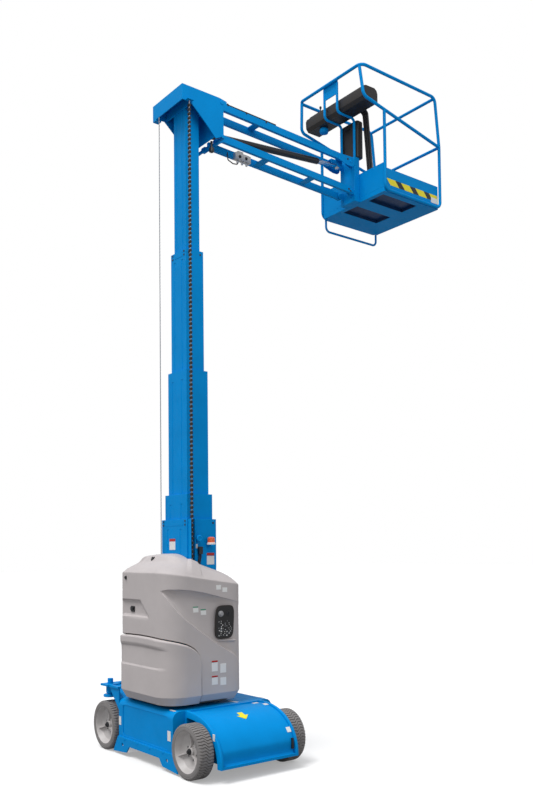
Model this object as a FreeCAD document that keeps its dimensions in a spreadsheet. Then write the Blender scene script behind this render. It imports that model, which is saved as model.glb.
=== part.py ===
import FreeCAD, Part
import math
import os
import re
import Sketcher
from FreeCAD import Placement, Rotation, Vector

# Vertical mast lift on four wheels, in mm and degrees.
# +X is the drive end of the chassis, +Y the reach of the jib, +Z up.
# The origin is on the floor under the slew axis.

SIZES = {
    # Wheels
    "wheel_base": 1284, "track_outer": 990, "tyre_radius": 203, "tyre_width": 127, "rim_radius": 158,
    "rim_wall": 9, "rim_inset": 6, "dish_depth": 62, "dish_flat": 94, "dish_bottom": 3, "rib_thick": 7, "hub_radius": 52, "hub_length": 34,
    "axle_radius": 26, "turn_gap": 0.05, "seat_gap": 0.3,
    # Chassis
    "side_half": 470, "plate_wall": 10, "deck_top": 460, "belly_low": 108,
    "mid_rear": -418, "mid_front": 432, "nose_end": -800, "nose_half": 212, "nose_low": 120,
    "drive_box_end": 780, "drive_box_half": 290, "drive_box_top": 320,
    "cover_start": 452, "cover_end": 910, "cover_low": 98, "cover_half": 362, "cover_wall": 6,
    "lip_deep": 26, "lip_wide": 14, "lug_hole": 14, "guard_thick": 10, "guard_low": 88, "guard_top": 150,
    "foot_low": 34, "foot_long": 189, "foot_lean": 47, "foot_out": 80, "foot_tip": 16, "tie_in": 75, "tie_up": 87,
    "gusset_low": 360, "gusset_out": 172, "gusset_cap": 20,
    "ballast_gap": 12, "edge_round": 60, "panel_margin": 68, "panel_foot": 165, "panel_head": 415,
    "panel_sunk": 5, "panel_round": 30,
    # Steering
    "shelf_low": 532, "shelf_thick": 16, "shelf_half": 62, "shelf_back": 74, "pin_radius": 24, "pin_top": 592,
    "bearing_radius": 36, "bearing_low": 470, "yoke_disc": 58, "yoke_low": 438, "yoke_thick": 20,
    "yoke_gap": 12, "yoke_half": 48, "link_radius": 14, "link_height": 300, "steer_arm": 120,
    "motor_radius": 88, "motor_gap": 8,
    # Turntable
    "ring_radius": 178, "ring_high": 30, "base_thick": 18, "house_half": 420, "house_rear": 510,
    "house_front": 220, "house_corner": 190, "house_low": 486, "house_wall": 8, "house_rear_top": 1522,
    "house_front_top": 1412, "crown_high": 122, "crown_in": 130, "crown_flat": 205, "skirt_in": 26, "skirt_top": 560,
    "door_top": 1004, "door_front": -226, "door_low": 512, "door_proud": 20, "door_gap": 0.6,
    "door_side_top": 862, "door_corner": 700, "swoosh_deep": 14,
    "panel_wide": 190, "panel_high": 270, "panel_mid": 16, "panel_low": 980, "panel_deep": 28,
    "weight_deep": 150, "weight_high": 330, "weight_half": 300, "pack_wide": 100, "pack_long": 380,
    "pack_high": 300,
    # Mast
    "mast_mid": -41, "tube_wide": 390, "tube_deep": 282, "step_wide": 52, "step_deep": 37, "tube_wall": 8,
    "mouth_high": 60, "outer_low": 508, "outer_top": 1930,
    "second_top": 2135, "third_top": 3160, "fourth_top": 4170, "fifth_top": 5470, "groove_wide": 26,
    "groove_deep": 3, "second_long": 1415, "third_long": 1375, "fourth_long": 1320, "fifth_long": 1550,
    "trough_wide": 44, "trough_deep": 46, "trough_wall": 3, "chain_wide": 24, "chain_deep": 30, "chain_pitch": 35.5, "chain_link": 27, "chain_core": 6,
    "chain_low": 760, "chain_mid": -150, "chain_gap": 10, "cable_radius": 4, "cable_side": -165,
    "cable_low": 720,
    # Mast head
    "head_gap": 6, "head_plate": 8, "head_rear": 211, "head_top": 5493, "head_rear_low": 5363,
    "head_front": 200, "head_front_low": 5130, "wrap_front": 40, "wrap_low": 5340, "front_plate": 106,
    "ear_out": 234, "beam_tab": 52, "anchor_wide": 36,
    # Jib
    "top_pivot_out": 195, "top_pivot_up": 5455, "low_pivot_out": 205, "low_pivot_up": 5165,
    "link_reach": 1585, "link_drop": 25, "rail_mid": 90, "rail_wide": 30, "rail_high": 60,
    "top_rise": 39, "low_rise": 51, "rail_rise_out": 12, "rail_start": 36, "hub_out": 26, "hub_pin": 14, "web_thick": 10,
    "top_web_out": 700, "low_web_out": 760, "low_web_far": 1300,
    "barrel_radius": 29, "barrel_short": 269, "rod_radius": 16, "base_pin_out": 200, "base_pin_up": 5260,
    "eye_back": 75, "eye_drop": 26, "eye_radius": 28, "eye_wide": 50, "rod_long": 600, "fork_thick": 10,
    # Platform: the reaches are from the arms' outer pin, the falls from the top rail
    "cage_half": 445, "cage_back": 186, "cage_reach": 889, "cage_lean": 54, "tube_radius": 15,
    "top_rail": 6190, "mid_fall": 494, "floor_low": 5060, "floor_thick": 45, "floor_reach": 110,
    "kick_high": 280, "kick_thick": 8, "toe_high": 235, "toe_thick": 6, "drop_fall": 297,
    "bend_round": 60, "step_fall": 120, "entry_rise": 340, "bracket_half": 100, "bracket_reach": 42,
    "bracket_high": 440, "lug_mid": 56, "lug_thick": 12,
    "channel_sunk": 36, "channel_wide": 200, "channel_long": 470, "channel_start": 50, "channel_left": -190,
    "channel_right": 166,
    "stand_half": 90, "stand_radius": 12.5, "stand_reach": 55, "stand_fall": 310, "stand_plate": 130,
    "desk_left": -385, "desk_right": 400, "desk_back": 146, "desk_reach": 42,
    "desk_high": 134, "desk_round": 40, "desk_foot": 24, "box_left": -140, "box_right": 116, "box_reach": 70.5,
    "box_deep": 85, "box_high": 369,
}

doc = FreeCAD.newDocument("mast_lift")
sheet = doc.addObject("Spreadsheet::Sheet", "Sizes")
for row, (alias, value) in enumerate(SIZES.items(), 1):
    sheet.set(f"A{row}", alias)
    sheet.set(f"B{row}", str(value))
    sheet.setAlias(f"B{row}", alias)
scratch = doc.addObject("Spreadsheet::Sheet", "Scratch")
doc.recompute()


class Cells:
    """The sheet's values by name."""
    def __getattr__(self, alias):
        return float(sheet.get(alias))


v = Cells()
NODES = {}
X_AXIS = Vector(1, 0, 0)
Y_AXIS = Vector(0, 1, 0)
Z_AXIS = Vector(0, 0, 1)


# Helpers: objects bound to the sheet
def bound(obj, **formulas):
    for prop, formula in formulas.items():
        text = re.sub(r"\b([a-z]+_[a-z0-9_]+)\b", r"Sizes.\1", str(formula))
        obj.setExpression(prop.replace("__", "."), text)
    return obj


def placed(obj, at):
    return bound(obj, Placement__Base__x=at[0], Placement__Base__y=at[1], Placement__Base__z=at[2])


def box(name, low, high):
    """A block between two corners, each three formulas."""
    obj = doc.addObject("Part::Box", name)
    spans = [f"({b}) - ({a})" for a, b in zip(low, high)]
    bound(obj, Length=spans[0], Width=spans[1], Height=spans[2])
    return placed(obj, low)


def rod(name, axis, start, radius, length):
    """A round bar from its start point along x, y or z."""
    obj = doc.addObject("Part::Cylinder", name)
    turn = {"x": Rotation(Z_AXIS, X_AXIS), "y": Rotation(Z_AXIS, Y_AXIS), "z": Rotation()}[axis]
    obj.Placement = Placement(Vector(), turn)
    bound(obj, Radius=radius, Height=length)
    return placed(obj, start)


def block_between(name, x_low, x_high, y_near, y_far, side, z_low, z_high):
    """A block from the near to the far line on one side of the machine."""
    y_low, y_high = (y_near, y_far) if side > 0 else (y_far, y_near)
    return box(name, (x_low, y_low, z_low), (x_high, y_high, z_high))


def fuse(name, parts):
    obj = doc.addObject("Part::MultiFuse", name)
    obj.Shapes = parts
    return obj


def cut(name, base, tools):
    tool = tools[0] if len(tools) == 1 else fuse(name + "_tools", tools)
    obj = doc.addObject("Part::Cut", name)
    obj.Base = base
    obj.Tool = tool
    return obj


def feature(name, shape):
    obj = doc.addObject("Part::Feature", name)
    obj.Shape = shape
    return obj


def node(label, obj):
    obj.Label = label
    NODES[label] = obj
    return obj


# Helpers: plain shapes from points
def prism(points, direction):
    """Polygon of 3-D points pushed along a vector."""
    wire = Part.makePolygon(list(points) + [points[0]])
    return Part.Face(wire).extrude(direction)


def side_prism(outline, low, high):
    """Polygon of (y, z) points between two x values."""
    return prism([Vector(low, y, z) for y, z in outline], Vector(high - low, 0, 0))


def bar(start, end, radius):
    return Part.makeCylinder(radius, (end - start).Length, start, end - start)


def bent_tube(points, radius, bend):
    """Round tube through points, its corners rounded to the bend radius."""
    edges = []
    here = points[0]
    for before, corner, after in zip(points, points[1:], points[2:]):
        inward = (before - corner).normalize()
        onward = (after - corner).normalize()
        half = inward.getAngle(onward) / 2
        back = bend / math.tan(half)
        start = corner + inward * back
        end = corner + onward * back
        middle = (inward + onward).normalize()
        middle = corner + middle * (bend / math.sin(half) - bend)
        edges.append(Part.LineSegment(here, start).toShape())
        edges.append(Part.Arc(start, middle, end).toShape())
        here = end
    edges.append(Part.LineSegment(here, points[-1]).toShape())
    profile = Part.Wire(Part.Circle(points[0], points[1] - points[0], radius).toShape())
    return Part.Wire(edges).makePipeShell([profile], True, False)


def rounded(half, rear, front, corner, height):
    """Closed outline of a plan with round corners, at one height."""
    ends = [(half, front), (-half, front), (-half, -rear), (half, -rear)]
    edges = []
    marks = []
    for index, (x, y) in enumerate(ends):
        px, py = ends[index - 1]
        nx, ny = ends[(index + 1) % 4]
        centre = Vector(x - math.copysign(corner, x), y - math.copysign(corner, y), height)
        start = Vector(x + (px - x) / max(abs(px - x), 1) * corner,
                       y + (py - y) / max(abs(py - y), 1) * corner, height)
        end = Vector(x + (nx - x) / max(abs(nx - x), 1) * corner,
                     y + (ny - y) / max(abs(ny - y), 1) * corner, height)
        out = Vector(x, y, height) - centre
        marks.append((start, centre + out.normalize() * corner, end))
    for index, (start, middle, end) in enumerate(marks):
        edges.append(Part.Arc(start, middle, end).toShape())
        edges.append(Part.LineSegment(end, marks[(index + 1) % 4][0]).toShape())
    return Part.Wire(edges)


def origin_plane(body, role):
    return next(o for o in body.Origin.OriginFeatures if o.Role == role)


def sketch_on(body, role, name, outlines):
    """Sketch of closed polygons, each corner held to the origin by two bound distances."""
    sketch = body.newObject("Sketcher::SketchObject", name)
    sketch.AttachmentSupport = [(origin_plane(body, role), "")]
    sketch.MapMode = "FlatFace"
    for corners in outlines:
        spots = []
        for across, up in corners:
            values = [evaluated(across), evaluated(up)]
            spots.append(Vector(values[0], values[1], 0))
        first = sketch.GeometryCount
        count = len(corners)
        for index in range(count):
            sketch.addGeometry(Part.LineSegment(spots[index], spots[(index + 1) % count]), False)
        for index in range(count):
            ahead = first + (index + 1) % count
            sketch.addConstraint(Sketcher.Constraint("Coincident", first + index, 2, ahead, 1))
        for index, (across, up) in enumerate(corners):
            for kind, formula, value in (("DistanceX", across, spots[index].x), ("DistanceY", up, spots[index].y)):
                number = sketch.addConstraint(
                    Sketcher.Constraint(kind, -1, 1, first + index, 1, value))
                bound(sketch, **{f"Constraints[{number}]": formula})
    return sketch


def evaluated(formula):
    """Value of a formula, worked out in a cell of its own."""
    scratch.set("A1", "=" + re.sub(r"\b([a-z]+_[a-z0-9_]+)\b", r"Sizes.\1", str(formula)))
    doc.recompute([scratch])
    return float(scratch.get("A1"))


# Chassis frame: centre box, nose between the steered wheels, drive box, shelves and feet
def chassis():
    block = Part.makeBox(v.mid_front - v.mid_rear, 2 * v.side_half, v.deck_top - v.belly_low,
                         Vector(v.mid_rear, -v.side_half, v.belly_low))
    long_edges = [e for e in block.Edges if e.BoundBox.XLength > 100 and e.BoundBox.ZMin > v.deck_top - 1]
    centre = feature("centre_box", block.makeFillet(v.edge_round, long_edges))
    nose = box("nose_box", ("nose_end", "-nose_half", "nose_low"), ("mid_rear", "nose_half", "deck_top"))
    drive = box("drive_box", ("cover_start", "-drive_box_half", "cover_low + 10"),
                ("drive_box_end", "drive_box_half", "drive_box_top"))
    neck = box("neck_box", ("mid_front", "-cover_half", "belly_low"), ("cover_start", "cover_half", "deck_top"))
    parts = [centre, nose, drive, neck]
    # columns: name, side of the machine
    for name, side in (("left", 1), ("right", -1)):
        pin_line = f"{side} * (track_outer / 2 - tyre_width / 2)"
        parts.append(block_between(f"shelf_{name}", "-wheel_base / 2 - shelf_half", "-wheel_base / 2 + shelf_half",
                                   f"{pin_line} - {side} * shelf_half", f"{pin_line} + {side} * shelf_half", side,
                                   "shelf_low", "shelf_low + shelf_thick"))
        parts.append(block_between(f"shelf_beam_{name}", "-wheel_base / 2 - shelf_half",
                                   "-wheel_base / 2 - shelf_half + shelf_back", "0", pin_line, side,
                                   "shelf_low", "shelf_low + shelf_thick"))
        parts.append(box(f"shelf_web_{name}",
                         ("-wheel_base / 2 - shelf_half", f"{side} * nose_half - {side} * plate_wall / 2 - plate_wall / 2",
                          "deck_top - plate_wall"),
                         ("-wheel_base / 2 - shelf_half + shelf_back",
                          f"{side} * nose_half - {side} * plate_wall / 2 + plate_wall / 2", "shelf_low")))
        parts.append(rod(f"bearing_{name}", "z", ("-wheel_base / 2", pin_line, "bearing_low"),
                         "bearing_radius", "shelf_low - bearing_low"))
        outer = side * v.side_half
        # columns: x, z of the gusset between the box and the shelf
        corners = ((v.mid_rear, v.gusset_low), (v.mid_rear, v.shelf_low + v.shelf_thick),
                   (v.mid_rear - v.gusset_out, v.shelf_low + v.shelf_thick), (v.mid_rear - v.gusset_out, v.shelf_low))
        parts.append(feature(f"gusset_{name}", prism([Vector(x, outer, z) for x, z in corners],
                                                     Vector(0, -side * v.plate_wall, 0))))
        parts.append(block_between(f"gusset_cap_{name}", "mid_rear - gusset_out", "mid_rear",
                                   f"{side} * (side_half - gusset_cap)", f"{side} * (side_half + guard_thick)", side,
                                   "shelf_low", "shelf_low + shelf_thick"))
    room = Part.makeBox(v.mid_front - v.mid_rear - 2 * v.plate_wall, 2 * (v.side_half - v.plate_wall),
                        v.deck_top - v.plate_wall - v.belly_low + 1,
                        Vector(v.mid_rear + v.plate_wall, v.plate_wall - v.side_half, v.belly_low - 1))
    room_edges = [e for e in room.Edges if e.BoundBox.XLength > 100 and e.BoundBox.ZMin > v.deck_top - v.plate_wall - 1]
    cavities = [
        feature("centre_room", room.makeFillet(v.edge_round - v.plate_wall, room_edges)),
        box("nose_room", ("nose_end + plate_wall", "-nose_half + plate_wall", "nose_low - 1"),
            ("mid_rear - plate_wall", "nose_half - plate_wall", "deck_top - plate_wall")),
        box("drive_room", ("cover_start + plate_wall", "-drive_box_half + plate_wall", "cover_low"),
            ("drive_box_end - plate_wall", "drive_box_half - plate_wall", "drive_box_top - plate_wall")),
    ]
    for name, side in (("left", 1), ("right", -1)):
        panel = Part.makeBox(v.mid_front - v.mid_rear - 2 * v.panel_margin, 2 * v.panel_sunk,
                             v.panel_head - v.panel_foot,
                             Vector(v.mid_rear + v.panel_margin, side * v.side_half - v.panel_sunk, v.panel_foot))
        corners = [e for e in panel.Edges if e.BoundBox.YLength > v.panel_sunk]
        cavities.append(feature(f"side_panel_{name}", panel.makeFillet(v.panel_round, corners)))
        cavities.append(rod(f"kingpin_hole_{name}", "z",
                            ("-wheel_base / 2", f"{side} * (track_outer / 2 - tyre_width / 2)", "bearing_low - 1"),
                            "pin_radius + turn_gap", "shelf_low + shelf_thick - bearing_low + 2"))
    node("chassis_frame", cut("chassis_frame_cut", fuse("chassis_frame_fuse", parts), cavities))
    node("ballast_block", box("ballast", ("mid_rear + plate_wall + ballast_gap", "-side_half + plate_wall + 0.3",
                                          "belly_low + 4"),
                              ("mid_front - plate_wall - ballast_gap", "side_half - plate_wall - 0.3",
                               "deck_top - plate_wall - 60")))


# Guards along the sides: a strip with a foot at each end that reaches in under the tyre
def side_guards():
    # columns: name, side of the machine
    for name, side in (("left", 1), ("right", -1)):
        inner = side * (v.side_half + v.seat_gap)
        # columns: x, z
        outline = ((v.mid_rear, v.guard_top), (v.mid_front, v.guard_top), (v.mid_front + v.foot_out, v.foot_tip),
                   (v.mid_front - v.foot_long + v.foot_lean, v.foot_low), (v.mid_front - v.foot_long, v.guard_low),
                   (v.mid_rear + v.foot_long, v.guard_low), (v.mid_rear + v.foot_long - v.foot_lean, v.foot_low),
                   (v.mid_rear - v.foot_out, v.foot_tip))
        strip = feature(f"guard_strip_{name}", prism([Vector(x, inner, z) for x, z in outline],
                                                     Vector(0, side * v.guard_thick, 0)))
        holes = [rod(f"tie_hole_{name}_{end}", "y", (middle, f"{side} * side_half - 30", "tie_up"), "lug_hole", "60")
                 for end, middle in (("steer", "mid_rear + tie_in"), ("drive", "mid_front - tie_in"))]
        node(f"side_guard_{name}", cut(f"side_guard_cut_{name}", strip, holes))


# Curved cover over the drive end, with a lip down each side
def end_cover():
    wall = v.cover_wall
    long_run = v.cover_end - v.cover_start
    rise = v.deck_top - v.cover_low

    def quarter(inset, half):
        """Quarter-round block, inset from the outer face."""
        block = Part.makeCylinder(rise - inset, 2 * half, Vector(0, -half, 0), Y_AXIS)
        matrix = FreeCAD.Matrix()
        matrix.scale((long_run - inset) / (rise - inset), 1, 1)
        block = block.transformGeometry(matrix)
        keep = Part.makeBox(long_run, 2 * half, rise, Vector(0, -half, 0))
        block = block.common(keep)
        block.translate(Vector(v.cover_start, 0, v.cover_low))
        return block
    shell = quarter(0, v.cover_half).cut(quarter(wall, v.cover_half))
    for side in (1, -1):
        lip = quarter(0, v.cover_half).cut(quarter(v.lip_deep, v.cover_half))
        lip = lip.common(Part.makeBox(long_run, v.lip_wide, rise,
                                      Vector(v.cover_start, side * v.cover_half - (v.lip_wide if side > 0 else 0),
                                             v.cover_low)))
        shell = shell.fuse(lip)
    top_gap = Part.makeBox(0.3, 2 * v.cover_half, rise, Vector(v.cover_start, -v.cover_half, v.cover_low))
    node("end_cover", feature("end_cover_shell", shell.cut(top_gap)))


# Gear motors that carry the drive wheels, and the steering link
def running_gear():
    motors = []
    for name, side in (("left", 1), ("right", -1)):
        inner = "drive_box_half + 0.3"
        outer = "track_outer / 2 - tyre_width - motor_gap"
        start = inner if side > 0 else f"-({outer})"
        motors.append(rod(f"motor_{name}", "y", ("wheel_base / 2", start, "tyre_radius"), "motor_radius",
                          f"{outer} - ({inner})"))
        stub = "track_outer / 2 - dish_depth - 2 - seat_gap"
        start = outer if side > 0 else f"-({stub})"
        motors.append(rod(f"drive_axle_{name}", "y", ("wheel_base / 2", start, "tyre_radius"), "axle_radius",
                          f"{stub} - ({outer})"))
    node("drive_hubs", fuse("drive_hubs_fuse", motors))


def knuckles():
    for name, side in (("left", 1), ("right", -1)):
        line = f"{side} * (track_outer / 2 - tyre_width / 2)"
        inner = "track_outer / 2 - tyre_width - yoke_gap"
        plate = [f"{side} * ({inner})", f"{side} * ({inner} - yoke_thick)"]
        low, high = (plate[1], plate[0]) if side > 0 else (plate[0], plate[1])
        pin = rod(f"kingpin_{name}", "z", ("-wheel_base / 2", line, "yoke_low"), "pin_radius", "pin_top - yoke_low")
        disc = rod(f"yoke_disc_{name}", "z", ("-wheel_base / 2", line, "yoke_low"), "yoke_disc", "yoke_thick")
        reach = (low, line) if side > 0 else (line, high)
        arm = box(f"yoke_arm_{name}", ("-wheel_base / 2 - yoke_half", reach[0], "yoke_low"),
                  ("-wheel_base / 2 + yoke_half", reach[1], "yoke_low + yoke_thick"))
        leg = box(f"yoke_leg_{name}", ("-wheel_base / 2 - yoke_half", low, "tyre_radius - yoke_half"),
                  ("-wheel_base / 2 + yoke_half", high, "yoke_low + yoke_thick"))
        stub = "track_outer / 2 - dish_depth - 2 - seat_gap"
        start = inner if side > 0 else f"-({stub})"
        axle = rod(f"steer_axle_{name}", "y", ("-wheel_base / 2", start, "tyre_radius"), "axle_radius",
                   f"{stub} - ({inner})")
        node(f"steer_knuckle_{name}", fuse(f"knuckle_{name}", [pin, disc, arm, leg, axle]))


# Wheels: a dished rim with three ribs, and a solid tyre
def rim_ribs(name, end, side):
    half = v.tyre_width / 2
    hub = half - v.dish_depth
    wall = v.rim_radius - 2 * v.rim_wall
    # columns: radius and distance outward of each corner of a rib
    outline = ((v.hub_radius - 4, hub - 3.5), (v.hub_radius - 4, hub + 20), (v.hub_radius + 10, hub + 14.5),
               (wall + 1, hub + 42.5), (wall + 1, hub + 34.5), (wall - 20, hub + 24.5), (v.dish_flat, hub - 2.5))
    centre = Vector(end * v.wheel_base / 2, side * (v.track_outer / 2 - half), v.tyre_radius)
    ribs = []
    for turn in (100, 220, 340):
        angle = math.radians(turn)
        ray = Vector(math.cos(angle) * side, 0, math.sin(angle))
        across = Vector(-math.sin(angle) * side, 0, math.cos(angle)) * v.rib_thick
        ribs.append(prism([centre + ray * r + Y_AXIS * (side * w) - across / 2 for r, w in outline], across))
    return feature(f"rim_{name}_ribs", ribs[0].fuse(ribs[1:]))


def wheels():
    # columns: name, end of the machine, side of the machine
    table = (("drive_left", 1, 1), ("drive_right", 1, -1), ("steer_left", -1, 1), ("steer_right", -1, -1))
    half = "tyre_width / 2"
    hub_face = f"{half} - dish_depth"
    for name, end, side in table:
        turn = Rotation() if side > 0 else Rotation(Z_AXIS, 180)
        at = (f"{end} * wheel_base / 2", f"{side} * (track_outer / 2 - {half})", "tyre_radius")
        body = doc.addObject("PartDesign::Body", f"rim_{name}")
        body.Placement = Placement(Vector(), turn)
        profile = [("rim_radius", f"-{half} + rim_inset"), ("rim_radius", f"{half} - rim_inset"),
                   ("rim_radius - rim_wall", f"{half} - rim_inset"), (f"rim_radius - 2 * rim_wall", f"{half} - 2 * rim_inset"),
                   ("dish_flat", f"{hub_face} + dish_bottom"),
                   ("hub_radius", hub_face), ("hub_radius - 12", f"{hub_face} + 12"),
                   ("axle_radius / 2", f"{hub_face} + 12"), ("axle_radius / 2", hub_face),
                   ("axle_radius + turn_gap", hub_face + " - 2"), ("axle_radius + turn_gap", f"{hub_face} - hub_length"),
                   ("hub_radius", f"{hub_face} - hub_length"), ("hub_radius", f"{hub_face} - rim_wall"),
                   ("dish_flat", f"{hub_face} + dish_bottom - rim_wall"),
                   ("rim_radius - 2 * rim_wall", f"{half} - 2 * rim_inset - rim_wall"),
                   ("rim_radius - rim_wall", f"-{half} + rim_inset")]
        sketch = sketch_on(body, "XY_Plane", f"rim_{name}_profile", [profile])
        spin = body.newObject("PartDesign::Revolution", f"rim_{name}_turned")
        spin.Profile = sketch
        spin.ReferenceAxis = (sketch, ["V_Axis"])
        spin.Angle = 360
        body.Tip = spin
        placed(body, at)
        node(f"wheel_{name}_rim", fuse(f"rim_{name}_ribbed", [body, rim_ribs(name, end, side)]))
        tyre = doc.addObject("PartDesign::Body", f"tyre_{name}")
        tyre.Placement = Placement(Vector(), turn)
        section = [("rim_radius", f"-{half}"), ("tyre_radius - 12", f"-{half}"), ("tyre_radius", f"-{half} + 14"),
                   ("tyre_radius", f"{half} - 14"), ("tyre_radius - 12", half), ("rim_radius", half)]
        sketch = sketch_on(tyre, "XY_Plane", f"tyre_{name}_profile", [section])
        spin = tyre.newObject("PartDesign::Revolution", f"tyre_{name}_turned")
        spin.Profile = sketch
        spin.ReferenceAxis = (sketch, ["V_Axis"])
        spin.Angle = 360
        tyre.Tip = spin
        placed(tyre, at)
        node(f"wheel_{name}_tyre", tyre)


# Turntable: ring, base plate, counterweight, battery and the moulded covers
def house_solid(inset, top_inset):
    """Body of the covers, its faces moved in by the inset."""
    low = v.house_low
    levels = ((low, v.skirt_in + inset), (v.skirt_top, inset), (v.house_rear_top + v.crown_high + 40, inset))
    wires = [rounded(v.house_half - i, v.house_rear - i, v.house_front - i, v.house_corner - i, z)
             for z, i in levels]
    hull = Part.makeLoft(wires, True, True)
    back = -v.house_rear
    front = v.house_front
    out = v.house_half + 10
    rim_back = v.house_rear_top - top_inset
    rim_front = v.house_front_top - top_inset
    ridge = v.crown_high
    slope = (rim_front - rim_back) / (front - back)

    def rim(y):
        return rim_back + slope * (y - back)
    top = [(back - 10, rim(back) - 6), (back + v.crown_in, rim(back + v.crown_in) + ridge),
           (front - v.crown_in, rim(front - v.crown_in) + ridge * 0.8), (front + 10, rim(front) - 6)]
    roof = side_prism([(back - 10, low - 5), *top, (front + 10, low - 5)], -out, out)
    eave = rim(back - 10)
    # columns: x, z at the rear, pushed along the fall of the eaves
    across = ((-out, low - 5), (-out, eave - 6), (-v.crown_flat, eave + ridge), (v.crown_flat, eave + ridge),
              (out, eave - 6), (out, low - 5))
    gable = prism([Vector(x, back - 10, z) for x, z in across], Vector(0, front - back + 20, rim(front + 10) - eave))
    return hull.common(roof).common(gable)


def swoosh_zone(side, shift):
    """Region of the swept recess on one side, its outline moved in by the shift."""
    # columns: y, upper and lower height
    table = ((-461, 1377, 1250), (-387, 1377, 1183), (-284, 1366, 1095), (-173, 1346, 1020), (-61, 1318, 945),
             (30, 1296, 890), (149, 1262, 797), (200, 1240, 722))
    points = [Vector(0, -490, 1368)] + [Vector(0, y, up) for y, up, _ in table]
    points += [Vector(0, y, low) for y, _, low in reversed(table)]
    face = Part.Face(Part.makePolygon(points + [points[0]]))
    if shift:
        face = face.makeOffset2D(-shift)
    inner = v.house_half - v.house_corner - 80
    face.translate(Vector(side * inner, 0, 0))
    return face.extrude(Vector(side * (v.house_corner + 100), 0, 0))


def swept(shell):
    """Shell of the covers with the recess pressed into each side."""
    deep = v.swoosh_deep
    sunk_out = house_solid(deep, 0)
    sunk_in = house_solid(deep + v.house_wall, 0)
    floor = sunk_out.cut(sunk_in)
    step = house_solid(0, 0).cut(sunk_in)
    for side in (1, -1):
        inner = swoosh_zone(side, v.house_wall)
        ring = swoosh_zone(side, 0).cut(inner)
        shell = shell.cut(inner).fuse([floor.common(inner), step.common(ring)])
    return shell


def door_zone(grow):
    """Region of the lower cover, grown by a small gap."""
    back = -v.house_rear - 90
    rise = (v.door_top - v.door_side_top) / (v.house_rear + v.door_front)
    outline = [(back, v.door_low - grow), (v.door_front + grow, v.door_low - grow),
               (v.door_front + grow, v.door_corner), (v.door_front - 8 + grow, v.door_corner + 90 + grow),
               (v.door_front - 24, v.door_side_top + 6 + grow), (-v.house_rear, v.door_top + grow),
               (back, v.door_top - rise * (back + v.house_rear) + grow)]
    return side_prism(outline, -1000, 1000)


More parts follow.
